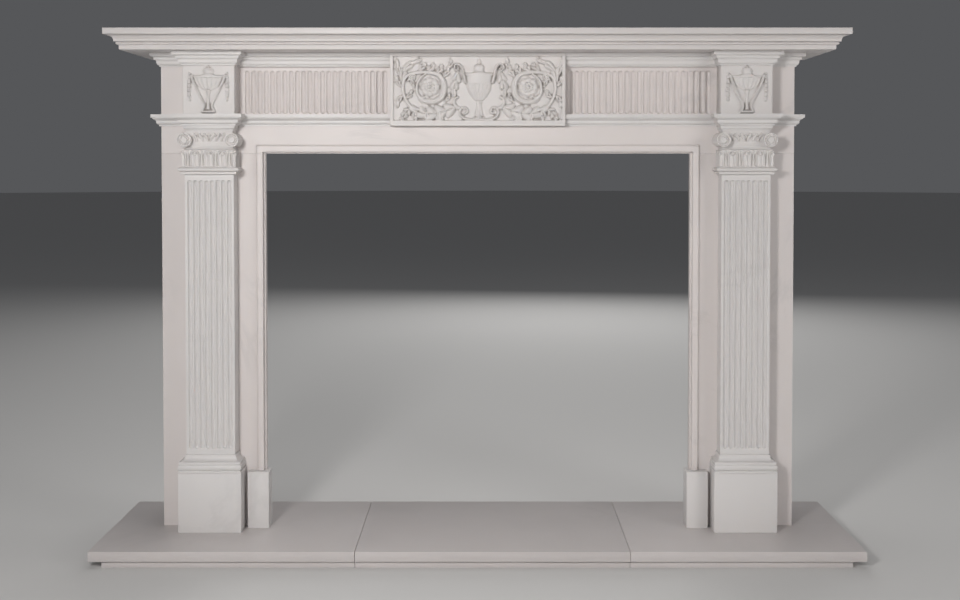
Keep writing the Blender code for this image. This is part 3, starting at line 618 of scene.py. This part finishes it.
def mantel_shelf():
    """Makes the shelf, moulded at its front and both ends."""
    reach = profile(SHELF_MOULDING)[-1][0]
    side, front = SHELF_HIGH.x - reach, SHELF_LOW.y + reach
    path = [(side, WALL), (side, front), (-side, front), (-side, WALL)]
    piece("mantel_shelf", moulding(path, [], SHELF_MOULDING, SHELF_LOW.z - JOINT), "shelf_marble")


# Carving. Motifs are height functions over a sheet in millimetres.

SHEET = 0.001
HIGHEST = 10.3
TABLET_CELL = 0.0009
BLOCK_CELL = 0.0006

# How far the tablet's front is proud, how deep its ground is sunk inside flat borders, and how far right of
# its middle the carving stands
TABLET_PROUD = 0.026
FIELD_SINK = 7.5
SIDE_BORDER = 9
TOP_BORDER = 8.5
FOOT_BORDER = 14
CARVING_SHIFT = 3.5

# The tablet's urn, as outlines of (half width, height), and the lines of its handle, foot scroll and tendril
URN_BODY = ((6, -29), (13, -26), (21, -16), (27, -6), (30.5, 4), (32.5, 20), (33, 34))
URN_LIP = ((33, 33), (36, 35), (36.5, 38), (34, 41))
URN_COVER = ((22, 40), (14, 43), (12.5, 46), (13, 56), (10, 61), (3.5, 63))
URN_KNOB = ((3, 62), (5, 66), (4.4, 71), (0.6, 78))
URN_FOOT = ((19, -76), (17, -72), (11, -62), (8, -50), (6.5, -38), (8.5, -33), (6.5, -29))
URN_HANDLE = ((34, 18), (38, 36), (42, 52), (49, 61), (58, 61), (61, 53), (56, 47), (51, 51))
FOOT_SCROLL = ((8, -74), (22, -75), (40, -70), (48, -58), (42, -46), (32, -47), (29, -56), (35, -60))
FOOT_TENDRIL = ((46, -48), (57, -42), (62, -33), (60, -24), (53, -19))

# The stem that scrolls round the rosette, and the leaves: midrib, half width and number of lobes
SCROLLING_STEM = (
    (150, -50), (170, -42), (184, -20), (189, 5), (184, 27), (166, 39), (135, 42), (105, 38),
    (90, 22), (87, 2), (93, -18), (112, -30), (136, -28), (152, -12), (154, 8), (147, 26), (132, 38),
)
TABLET_LEAVES = (
    (((58, -44), (85, -54), (115, -60), (145, -57), (174, -42)), 21, 5),
    (((192, 14), (188, 42), (170, 62), (142, 74)), 11, 3),
    (((150, 44), (140, 56), (132, 66)), 9, 2),
    (((128, 44), (118, 54), (112, 66)), 9, 2),
    (((106, 40), (96, 50), (92, 63)), 9, 2),
    (((90, 30), (79, 42), (77, 56)), 8, 2),
    (((193, 30), (200, 50), (204, 76)), 7, 2),
    (((192, 6), (201, 18), (203, 34)), 6, 2),
    (((188, -14), (199, -26), (203, -46)), 7, 2),
    (((172, -48), (183, -60), (194, -76)), 12, 3),
    (((152, -14), (140, -25), (122, -30), (102, -26)), 9, 3),
    (((182, -22), (172, -14), (166, 0)), 7, 2),
    (((84, -30), (76, -20), (74, -8)), 6, 2),
    (((100, -52), (98, -66), (88, -76)), 8, 2),
    (((128, -55), (130, -67), (122, -77)), 8, 2),
    (((154, -50), (160, -64), (154, -76)), 8, 2),
    (((80, 52), (70, 62), (72, 76)), 7, 2),
    (((158, 40), (166, 22), (160, 4)), 7, 3),
    (((178, 20), (168, 30), (160, 44)), 6, 2),
    (((54, 44), (57, 24), (62, 4), (62, -20)), 13, 3),
)

# The end blocks' urn, its stand's strap and the drop of husks beside it
SMALL_BOWL = ((5, -3), (14, 0), (23, 5), (30, 12), (35, 21), (37.5, 30))
SMALL_LIP = ((36, 29), (39, 30.5), (38, 33), (30, 34.5))
SMALL_COVER = ((20, 34), (14, 37), (12.5, 40), (13.5, 47), (11, 52), (4, 54))
SMALL_KNOB = ((3, 53), (4.5, 56), (0.6, 59))
SMALL_FOOT = ((6, -50), (3.4, -34), (3.8, -14), (7, -2))
STRAP = ((40, 30), (36, 18), (27, -2), (18, -20), (11, -34), (10, -43), (14, -52))
HUSK_DROP = ((46, 36), (46.5, 15), (47, -5), (46, -28))


def between(p, q, r, s, t):
    """Gives the value at t from q to r on a smooth curve through four values."""
    return q + t * ((r - p) + (2 * p - 5 * q + 4 * r - s) * t + (3 * q - p - 3 * r + s) * t**2) / 2


def smooth_line(points, steps=8):
    """Lists the places of a smooth curve through its points."""
    ends = [points[0], *points, points[-1]]
    line = []
    for four in zip(ends, ends[1:], ends[2:], ends[3:]):
        line += [tuple(between(*values, step / steps) for values in zip(*four)) for step in range(steps)]
    return [*line, points[-1]]


def along_line(x, z, points):
    """Gives each place's share along a smooth line, and its signed distance to the line's left."""
    line = smooth_line(points)
    share = np.zeros_like(x)
    away = np.full_like(x, 1e6)
    for number, ((x0, z0), (x1, z1)) in enumerate(zip(line, line[1:])):
        dx, dz = x1 - x0, z1 - z0
        squared_length = dx * dx + dz * dz + 1e-9
        along = np.clip(((x - x0) * dx + (z - z0) * dz) / squared_length, 0, 1)
        gap_x, gap_z = x - x0 - along * dx, z - z0 - along * dz
        distance = np.hypot(gap_x, gap_z) * np.where(dx * gap_z - dz * gap_x < 0, -1, 1)
        nearer = np.abs(distance) < np.abs(away)
        share = np.where(nearer, (number + along) / (len(line) - 1), share)
        away = np.where(nearer, distance, away)
    return share, away


def rounded(share):
    """Gives a rounded section, 1 at the middle and 0 from the edge out."""
    return np.sqrt(np.clip(1 - share**2, 0, None))


def ridge(away, width):
    """Gives a soft ridge, 1 on its line and fading over a width."""
    return np.exp(-((away / width) ** 2))


def mound(x, z, place, half_width, half_height, high):
    """Gives a rounded mound."""
    return high * rounded(np.hypot((x - place[0]) / half_width, (z - place[1]) / half_height))


def stem(x, z, points, widths, high, groove=0.0):
    """Gives a rounded stem along a smooth line, as wide as its half widths say, with a groove if asked."""
    share, away = along_line(x, z, points)
    width = np.interp(share, np.linspace(0, 1, len(widths)), widths)
    part = np.abs(away) / width
    return np.where(part < 1, high * rounded(part) - groove * ridge(part, 0.22), 0)


def acanthus(x, z, points, half_width, lobes, high):
    """Gives an acanthus leaf on a curved midrib: rounded lobes swept forward, deeply notched."""
    share, away = along_line(x, z, points)
    side = np.abs(away)
    envelope = np.sin(math.pi * np.clip(share, 0.03, 0.97) ** 0.8) ** 0.55
    wave = np.abs(np.sin(math.pi * (lobes * share - 0.55 * side / half_width)))
    width = half_width * envelope * (0.5 + 0.5 * wave**0.7) + 0.01
    part = side / width
    body = high * (0.55 + 0.45 * wave**0.8) * rounded(part) ** 0.7
    midrib = 0.3 * high * ridge(side, 1.3)
    return np.where(part < 1, np.clip(body - midrib, 0, None), 0)


def turned(x, z, outline, flatness, flutes=0, depth=0.9, fluted_to=None):
    """Gives a turned form from its outline of (half width, height), fluted below a height if asked."""
    ups = [up for _, up in outline]
    width = np.interp(z, ups, [half for half, _ in outline], left=0.0, right=0.0)
    share = np.clip(np.abs(x) / np.maximum(width, 1e-6), 0, 1)
    heights = flatness * width * rounded(share)
    if flutes:
        cut = depth * np.abs(np.sin(flutes * np.arcsin(share))) ** 0.7 * (share < 1)
        heights -= cut * (1 if fluted_to is None else np.clip((fluted_to - z) / 4, 0, 1))
    return np.where(width > 0, np.clip(heights, 0, None), 0)


def rosette(x, z, centre, radius, petals, high):
    """Gives a rosette: two rings of hollowed petals round a rounded boss."""
    away = np.hypot(x - centre[0], z - centre[1]) / radius
    turn = np.arctan2(z - centre[1], x - centre[0])
    outer = np.abs(np.cos(petals * turn / 2))
    edge = 0.84 + 0.16 * outer**0.5
    reach = away / edge
    ring = np.clip(1 - reach**8, 0, None) * (0.25 + 0.75 * reach**1.2) * (0.72 + 0.28 * outer)
    inner = np.abs(np.sin(petals * turn / 2))
    small = np.clip(1 - (away / 0.56) ** 6, 0, None) * (0.55 + 0.45 * away / 0.56) * (0.75 + 0.25 * inner)
    return high * np.maximum.reduce([0.8 * ring, small, 1.15 * rounded(away / 0.24)]) * (away < edge)


def husks(x, z, points, half_width, count, high):
    """Gives a drop of bell-shaped husks down a smooth line."""
    share, away = along_line(x, z, points)
    phase = (share * count) % 1.0
    width = half_width * (0.55 + 0.45 * np.sin(math.pi * share)) * (0.55 + 0.45 * phase**0.6)
    part = np.abs(away) / width
    inside = (part < 1) & (share > 0.001) & (share < 0.999)
    split = 0.25 * high * ridge(away, 0.7)
    return np.where(inside, high * (0.45 + 0.55 * phase) * rounded(part) - split, 0)


def neighbours(heights):
    """Lists a sheet's heights as seen from each of the four sides, and the heights themselves."""
    padded = np.pad(heights, 1, mode="edge")
    return padded[:-2, 1:-1], padded[2:, 1:-1], padded[1:-1, :-2], padded[1:-1, 2:], heights


def blurred(heights, times=1):
    """Spreads the heights of a sheet over their neighbours."""
    for _ in range(times):
        heights = sum(neighbours(heights)) / 5
    return heights


def spread(heights, times, choose):
    """Spreads the highest or the lowest of each place's neighbours over it."""
    for _ in range(times):
        heights = choose.reduce(neighbours(heights))
    return heights


def painted_shade_of(heights, cells):
    """Gives how deep in a crevice each place lies, from 0 to 1: where a ball of so many cells can't go. It
    masks the painted shade.
    """
    closed = spread(spread(heights, cells, np.maximum), cells, np.minimum)
    return blurred(np.clip((closed - heights - 0.5) / 3.0, 0, 1))


def carved_slab(x_span, z_span, front, back, cell, carving):
    """Makes a slab whose front is carved: carving(x, z) gives heights in the sheet's millimetres."""
    bm = bmesh.new()
    width, height = x_span[1] - x_span[0], z_span[1] - z_span[0]
    columns, rows = round(width / cell), round(height / cell)
    bmesh.ops.create_grid(bm, x_segments=columns, y_segments=rows, size=0.5)
    across = np.array([vert.co.x * width for vert in bm.verts])
    up = np.array([vert.co.y * height for vert in bm.verts])
    sheet = carving(across / SHEET, up / SHEET).reshape(rows + 1, columns + 1)
    heights = blurred(sheet)
    # Painted shade, darkest deep in the carving's crevices
    painted_shade = painted_shade_of(heights, round(2.7 * SHEET / cell)).ravel()
    middle = (sum(x_span) / 2, sum(z_span) / 2)
    for vert, x, z, high in zip(bm.verts, across, up, heights.ravel() * SHEET):
        vert.co = (middle[0] + x, front - high, middle[1] + z)
    for face in bm.faces:
        face.smooth = True
    rim = [edge for edge in bm.edges if edge.is_boundary]
    bmesh.ops.edgeloop_fill(bm, edges=pushed(bm, rim, back))
    return bm, padded_for(bm, painted_shade)


def padded_for(bm, painted_shade):
    """Lengthens the painted crevice shade with zeros for the vertices that aren't carved."""
    return np.concatenate([painted_shade, np.zeros(len(bm.verts) - len(painted_shade))])


def half_size(low, high):
    """Gives half the width and half the height between two corners, in the sheet's millimetres."""
    return (high.x - low.x) / 2 / SHEET, (high.z - low.z) / 2 / SHEET


def arris_drop(x, z, half_width, half_height):
    """Lowers the heights at a slab's edges, to soften its arris."""
    inside = np.minimum(half_width - np.abs(x), half_height - np.abs(z))
    return 0.8 * np.clip(1 - inside / 0.9, 0, 1) ** 2


def tablet_carving(x, z):
    """Carves the tablet: an urn between two scrolling stems of acanthus, the same on both sides."""
    face_x = np.abs(x)
    x = np.abs(x - CARVING_SHIFT)
    parts = [
        turned(x, z, URN_BODY, 0.5, flutes=15, depth=1.7, fluted_to=16),
        turned(x, z, URN_LIP, 0.455),
        turned(x, z, URN_COVER, 0.95),
        turned(x, z, URN_KNOB, 1.3),
        turned(x, z, URN_FOOT, 0.9, flutes=4, depth=2.2),
        stem(x, z, URN_HANDLE, (3.8, 3.4, 2.6), 14),
        mound(x, z, (56, 3), 5, 5, 12),
        stem(x, z, FOOT_SCROLL, (4, 3.4), 11),
        stem(x, z, FOOT_TENDRIL, (4.5, 3.5), 10),
        stem(x, z, SCROLLING_STEM, (4, 4.5, 4.5, 4.5, 6.5, 8.5, 8, 4.5, 3.5, 2.6), 12.5, groove=2.5),
        rosette(x, z, (122, 6), 25, petals=8, high=13),
    ]
    parts += [acanthus(x, z, line, width, lobes, 11.5) for line, width, lobes in TABLET_LEAVES]
    drilled = 9.0 * np.exp(-(((x - 9) ** 2 + (z + 67) ** 2) / 7.0))
    relief = np.minimum(np.maximum.reduce(parts) - drilled - FIELD_SINK, HIGHEST)
    half_width, half_height = half_size(TABLET_LOW, TABLET_HIGH)
    field = (face_x < half_width - SIDE_BORDER) & (z < half_height - TOP_BORDER)
    field &= z > FOOT_BORDER - half_height
    return np.where(field, relief, 0.0) - arris_drop(face_x, z, half_width, half_height)


def urn_carving(x, z):
    """Carves an end block: a footed urn in a stand of curved straps, between two drops of husks."""
    x = np.abs(x)
    relief = np.maximum.reduce([
        turned(x, z, SMALL_BOWL, 0.26, flutes=9, depth=1.8),
        turned(x, z, SMALL_LIP, 0.26),
        turned(x, z, SMALL_COVER, 0.72),
        turned(x, z, SMALL_KNOB, 1.5),
        turned(x, z, SMALL_FOOT, 1.3),
        stem(x, z, STRAP, (3.2, 3.2, 2.8, 3.2), 9.5, groove=3),
        mound(x, z, (41, 33), 4.5, 4.5, 8),
        stem(x, z, ((15, -54.5), (0, -54.5)), (3.6, 3.6), 8),
        husks(x, z, HUSK_DROP, 5, 6, 7),
        mound(x, z, (46, 39), 3.5, 3.5, 6),
    ])
    half_width, half_height = half_size(BLOCK_LOW, BLOCK_HIGH)
    inside = (x < half_width - 2) & (np.abs(z) < half_height - 0.6)
    return np.where(inside, np.minimum(relief, HIGHEST), 0.0) - arris_drop(x, z, half_width, half_height)


def carved_frieze():
    """Makes the tablet and the end blocks."""
    x_span, z_span = (TABLET_LOW.x, TABLET_HIGH.x), (TABLET_LOW.z, TABLET_HIGH.z)
    bm, painted_shade = carved_slab(x_span, z_span, FACE - TABLET_PROUD, SEAT, TABLET_CELL, tablet_carving)
    piece("urn_tablet", bm, "carved_marble", painted_shade, softened=False)
    x_span, z_span = (BLOCK_LOW.x, BLOCK_HIGH.x), (BLOCK_LOW.z, BLOCK_HIGH.z)
    bm, painted_shade = carved_slab(x_span, z_span, BLOCK_FRONT, SEAT, BLOCK_CELL, urn_carving)
    pair("urn_block", bm, "carved_marble", painted_shade, softened=False)


# Capital

NECK_LEAVES = 4
CAPITAL_CELL = 0.0007
# How much longer the flanks' cells are, and from where, as a share of half the face, its relief also
# pushes the corner out
FLANK_STRETCH = 1.5
CORNER_SHARE = 0.93

# Scrolls. The waist lists how they narrow from back to front, as shares of their depth and their radius.
SCROLL_RADIUS = 0.0177
SCROLL_SPREAD = 0.0575
SCROLL_STEP = 0.0155
SCROLL_DROP = 0.0045
SCROLL_SIDES = 64
SCROLL_FACE = 0.965
SCROLL_FACE_RINGS = 30
SCROLL_WAIST = (
    (1.0, 1.0), (0.86, 0.97), (0.7, 0.8), (0.56, 0.74), (0.52, 0.82), (0.48, 0.82), (0.44, 0.74),
    (0.3, 0.8), (0.14, 0.97), (0.1, 1.0), (0.02, 1.0), (0.0, SCROLL_FACE),
)

# The scroll's spiral groove. All but its depth are shares of the radius.
SPIRAL_START = 0.84
SPIRAL_PITCH = 0.21
SPIRAL_EYE = 0.4
SPIRAL_WIDTH = 0.085
SPIRAL_DEPTH = 0.0042


def neck_carving(u, up, pitch, high):
    """Carves the necking: round-headed leaves with raised rims and curled tips, and darts between them."""
    across = (u + pitch / 2) % pitch - pitch / 2
    half = 0.37 * pitch
    inside = half - np.hypot(across, np.clip(up - (high - 1 - half), 0, None))
    rim = 4.0 * ridge(inside - 1.9, 1.5)
    midrib = 2.6 * ridge(across, 2.4) * (inside > 1.9)
    tip = mound(across, up, (0, high - 10.5), 4.6, 4.6, 4.6)
    beside = np.abs(np.abs(across) - pitch / 2)
    dart = 3.2 * rounded(beside / (0.09 * pitch * (1.15 - up / high) + 0.6)) * (up < 0.97 * high)
    shape = np.maximum.reduce([rim * (inside > -2), midrib, tip, dart * (inside < 0)])
    return (shape - 1.6) * (up > 0.3) * (up < high - 0.3)


def band_carving(u, up, reach, high):
    """Carves the band between the scrolls: small bent leaves that lean away from the middle."""
    u = np.abs(u)
    heights = np.zeros_like(u)
    for number in range(3):
        centre = (number + 0.55) * reach / 3
        line = (
            (centre - 3.5, 0.5), (centre - 2.0, 0.4 * high),
            (centre + 2.0, 0.6 * high), (centre + 4.5, high - 0.5),
        )
        heights = np.maximum(heights, stem(u, up, line, (2.0, 3.4, 3.4, 2.0), 4.8, groove=1.6))
        heights = np.maximum(heights, mound(u, up, (centre - 5.5, 0.72 * high), 2.0, 3.0, 3.6))
    return heights - 1.0


def capital_sheet(u, up):
    """Gives the whole capital's carving over its unrolled sheet, from the bottom of its necking ring."""
    ring = sum(height for _, height, _ in NECKING_RING) / SHEET
    neck, cove, band = (height / SHEET for _, height, _ in CAPITAL_BODY)
    half = (SHAFT_HALF + profile(NECKING_RING)[-1][0] + CAPITAL_BODY[0][2]) / SHEET
    neck_up = up - ring
    pitch = 2 * half / (NECK_LEAVES - 0.12)
    heights = neck_carving(u, neck_up, pitch, neck) * (neck_up > 0) * (neck_up < neck)
    band_low = ring + neck + cove
    low, high = band_low + 0.28 * band, band_low + 0.86 * band
    reach = (SCROLL_SPREAD - SCROLL_RADIUS) / SHEET
    strip = (up > low) & (up < high) & (np.abs(u) < reach)
    return heights + np.where(strip, band_carving(u, up - low, reach, high - low), 0)


def wrapped(half, front, members, low, carving):
    """Makes a moulded band round a pilaster, carved over its unrolled sheet of (around, up) millimetres."""
    points = profile(members)
    lengths = np.concatenate([[0], np.cumsum([math.dist(a, b) for a, b in zip(points, points[1:])])])
    rows = round(lengths[-1] / CAPITAL_CELL)
    marks = np.linspace(0, lengths[-1], rows + 1)
    outs = np.interp(marks, lengths, [out for out, _ in points])
    ups = np.interp(marks, lengths, [up for _, up in points])
    facing = round(2 * half / CAPITAL_CELL)
    flank = round((SEAT - front) / (FLANK_STRETCH * CAPITAL_CELL))
    columns = facing + 2 * flank
    bm = bmesh.new()
    bmesh.ops.create_grid(bm, x_segments=columns, y_segments=rows, size=0.5)

    # Flat runs from -1 to 1 across the face, and past from 0 to 1 from the face's edge back to the seat.
    column, row = np.meshgrid(np.arange(columns + 1), np.arange(rows + 1))
    out, up = outs[row], ups[row]
    wide, near = half + out, front - out
    flat = np.clip((column - flank) / facing * 2 - 1, -1, 1)
    past = np.clip(np.maximum(flank - column, column - flank - facing) / flank, 0, 1)
    side = np.where(column < flank + facing / 2, -1, 1)
    around = flat * wide + side * past * (SEAT - near)

    relief = carving(around / SHEET, up / SHEET)
    # Painted shade, darkest deep in the carving's crevices
    painted_shade = painted_shade_of(relief, round(2.0 * SHEET / CAPITAL_CELL))
    relief = blurred(relief) * SHEET * np.clip((1 - past) * 12, 0, 1)
    corner = np.clip((np.abs(flat) - CORNER_SHARE) / (1 - CORNER_SHARE), 0, 1)
    x = AXIS + flat * wide + side * relief * corner
    y = np.where(past > 0, near + past * (SEAT - near), near - relief)
    for vert, place in zip(bm.verts, np.stack([x, y, low + up], axis=-1).reshape(-1, 3)):
        vert.co = place
    for face in bm.faces:
        face.smooth = True
    close_back(bm, low, low + ups[-1])
    return bm, padded_for(bm, painted_shade.ravel())


def close_back(bm, low, high, slack=1e-7):
    """Closes the top, foot and back of a band that ends at the seat, within a slack."""
    rim = [edge for edge in bm.edges if edge.is_boundary]
    ends = [vert for edge in rim for vert in edge.verts if abs(vert.co.y - SEAT) < slack]
    for level in (low, high):
        corners = {vert for vert in ends if abs(vert.co.z - level) < slack}
        across = sorted(corners, key=lambda vert: vert.co.x)
        bm.edges.new((across[0], across[-1]))
    bmesh.ops.edgenet_fill(bm, edges=[edge for edge in bm.edges if len(edge.link_faces) < 2])


def add_scroll(bm, x):
    """Adds a scroll: a waisted bolster with a sunk spiral and an eye on its front."""
    front, depth = SHAFT_FRONT - SCROLL_STEP, SEAT - SHAFT_FRONT + SCROLL_STEP
    centre = Vector((x, front, CAPITAL_TOP - SCROLL_DROP - SCROLL_RADIUS))
    rings = [(SCROLL_RADIUS * wide, depth * back) for back, wide in SCROLL_WAIST]
    for ring in range(1, SCROLL_FACE_RINGS + 1):
        rings.append((SCROLL_RADIUS * SCROLL_FACE * (1 - ring / (SCROLL_FACE_RINGS + 1)), 0.0))
    radius = rings[0][0]
    place = Matrix.Translation(centre + Vector((0, depth, 0))) @ Matrix.Rotation(math.pi / 2, 4, "X")
    verts = bmesh.ops.create_circle(bm, segments=SCROLL_SIDES, radius=radius, matrix=place)["verts"]
    edges = list({edge for vert in verts for edge in vert.link_edges})
    bmesh.ops.edgeloop_fill(bm, edges=edges)
    for wide, back in rings[1:]:
        grown = bmesh.ops.extrude_edge_only(bm, edges=edges)["geom"]
        edges = edges_of(grown)
        for vert in verts_of(grown):
            away = vert.co - centre
            vert.co.x = centre.x + away.x * wide / radius
            vert.co.z = centre.z + away.z * wide / radius
            vert.co.y = front + back + (scroll_sink(wide, away, x) if back == 0.0 else 0.0)
        radius = wide
    bmesh.ops.edgeloop_fill(bm, edges=edges)


def scroll_sink(radius, away, x):
    """Gives how deep the spiral groove is at a radius, towards a direction."""
    turn = (math.atan2(away.z, away.x if x > AXIS else -away.x) / (2 * math.pi) - 0.25) % 1.0
    depth = 0.0
    for lap in (0, 1):
        groove = SPIRAL_START - SPIRAL_PITCH * (lap + 1 - turn)
        if groove > SPIRAL_EYE:
            off_groove = radius / SCROLL_RADIUS - groove
            depth = max(depth, math.exp(-((off_groove / SPIRAL_WIDTH) ** 2)))
    return SPIRAL_DEPTH * depth


def capitals():
    """Makes the capitals: the carved body with its two scrolls."""
    members, low = NECKING_RING + CAPITAL_BODY, SHAFT_HIGH.z + JOINT
    bm, painted_shade = wrapped(SHAFT_HALF, SHAFT_FRONT, members, low, capital_sheet)
    for side in (-1, 1):
        add_scroll(bm, AXIS + side * SCROLL_SPREAD)
    for face in bm.faces:
        face.smooth = len(face.verts) < 5
    pair("pilaster_capital", bm, "carved_marble", padded_for(bm, painted_shade), softened=False)


hearth()
leg_panels()
foot_blocks()
pilaster_shafts()
frieze_board()
mouldings()
mantel_shelf()
carved_frieze()
capitals()


# Floor, lights and camera

FLOOR_COLOUR = (0.62, 0.615, 0.605, 1.0)
SKY_COLOUR = (0.93, 0.95, 1.0, 1.0)
SKY_STRENGTH = 0.10
WARM = (1.0, 0.98, 0.965)
NEUTRAL = (1.0, 0.99, 0.98)

# Disk lights: name, place, aim, width, spread in degrees, watts and tint
LIGHTS = (
    ("key", (-0.80, -2.19, 1.34), (0.2, 0.0, 0.4), 0.4, 120, 14.5, WARM),
    ("side", (-2.8, -2.6, 1.2), (0.0, 0.0, 0.7), 1.4, 180, 10.0, WARM),
    ("right", (2.6, -2.2, 1.2), (0.7, 0.0, 0.7), 1.2, 180, 24.0, WARM),
    ("front", (-0.3, -6.0, 1.2), (0.0, 0.0, 0.7), 1.6, 180, 17.0, WARM),
    ("back", (0.6, 4.8, 2.6), (0.0, 0.2, 0.7), 3.0, 180, 75.0, NEUTRAL),
    ("top", (0.0, 0.7, 3.8), (0.0, 0.1, 0.0), 2.6, 180, 36.0, NEUTRAL),
)
NOT_MIRRORED = ("back", "top")

# The camera, as the photograph's lines place it
CAMERA_RIGHT = 0.02
CAMERA_DISTANCE = 2.939
CAMERA_HEIGHT = 0.95
CAMERA_DIP = 1.45


def floor():
    """Lays the pale floor."""
    bm = bmesh.new()
    bmesh.ops.create_circle(bm, cap_ends=True, segments=64, radius=40.0)
    mesh = bpy.data.meshes.new("studio_floor")
    bm.to_mesh(mesh)
    bm.free()
    paper = bpy.data.materials.new("floor_paper")
    paper.use_nodes = True
    shader = paper.node_tree.nodes["Principled BSDF"]
    shader.inputs["Base Color"].default_value = FLOOR_COLOUR
    shader.inputs["Roughness"].default_value = 0.9
    mesh.materials.append(paper)
    made = bpy.data.objects.new("studio_floor", mesh)
    bpy.context.collection.objects.link(made)


def lights():
    """Sets the dim sky and the soft lights. The ones behind and above don't glare in the polished hearth."""
    world = bpy.data.worlds.new("studio")
    world.use_nodes = True
    sky = world.node_tree.nodes["Background"]
    sky.inputs["Color"].default_value = SKY_COLOUR
    sky.inputs["Strength"].default_value = SKY_STRENGTH
    bpy.context.scene.world = world
    for name, place, aim, width, spread_angle, watts, tint in LIGHTS:
        lamp = bpy.data.lights.new(name, "AREA")
        lamp.shape = "DISK"
        lamp.size = width
        lamp.spread = math.radians(spread_angle)
        lamp.energy = watts
        lamp.color = tint
        light = bpy.data.objects.new(name, lamp)
        light.location = place
        light.rotation_euler = (Vector(aim) - Vector(place)).to_track_quat("-Z", "Y").to_euler()
        light.visible_camera = False
        light.visible_glossy = name not in NOT_MIRRORED
        bpy.context.collection.objects.link(light)


def camera():
    """Stands the camera where the photograph was taken from, a little above the middle and nearly level."""
    lens = bpy.data.cameras.new("camera")
    lens.lens = 44.0
    lens.sensor_width = 36.0
    lens.shift_x = -0.006
    lens.shift_y = -0.110
    viewer = bpy.data.objects.new("camera", lens)
    viewer.location = (CAMERA_RIGHT, FACE - CAMERA_DISTANCE, CAMERA_HEIGHT)
    viewer.rotation_euler = (math.radians(90 - CAMERA_DIP), 0, 0)
    bpy.context.collection.objects.link(viewer)
    bpy.context.scene.camera = viewer
    bpy.context.scene.view_settings.view_transform = "Standard"


floor()
lights()
camera()
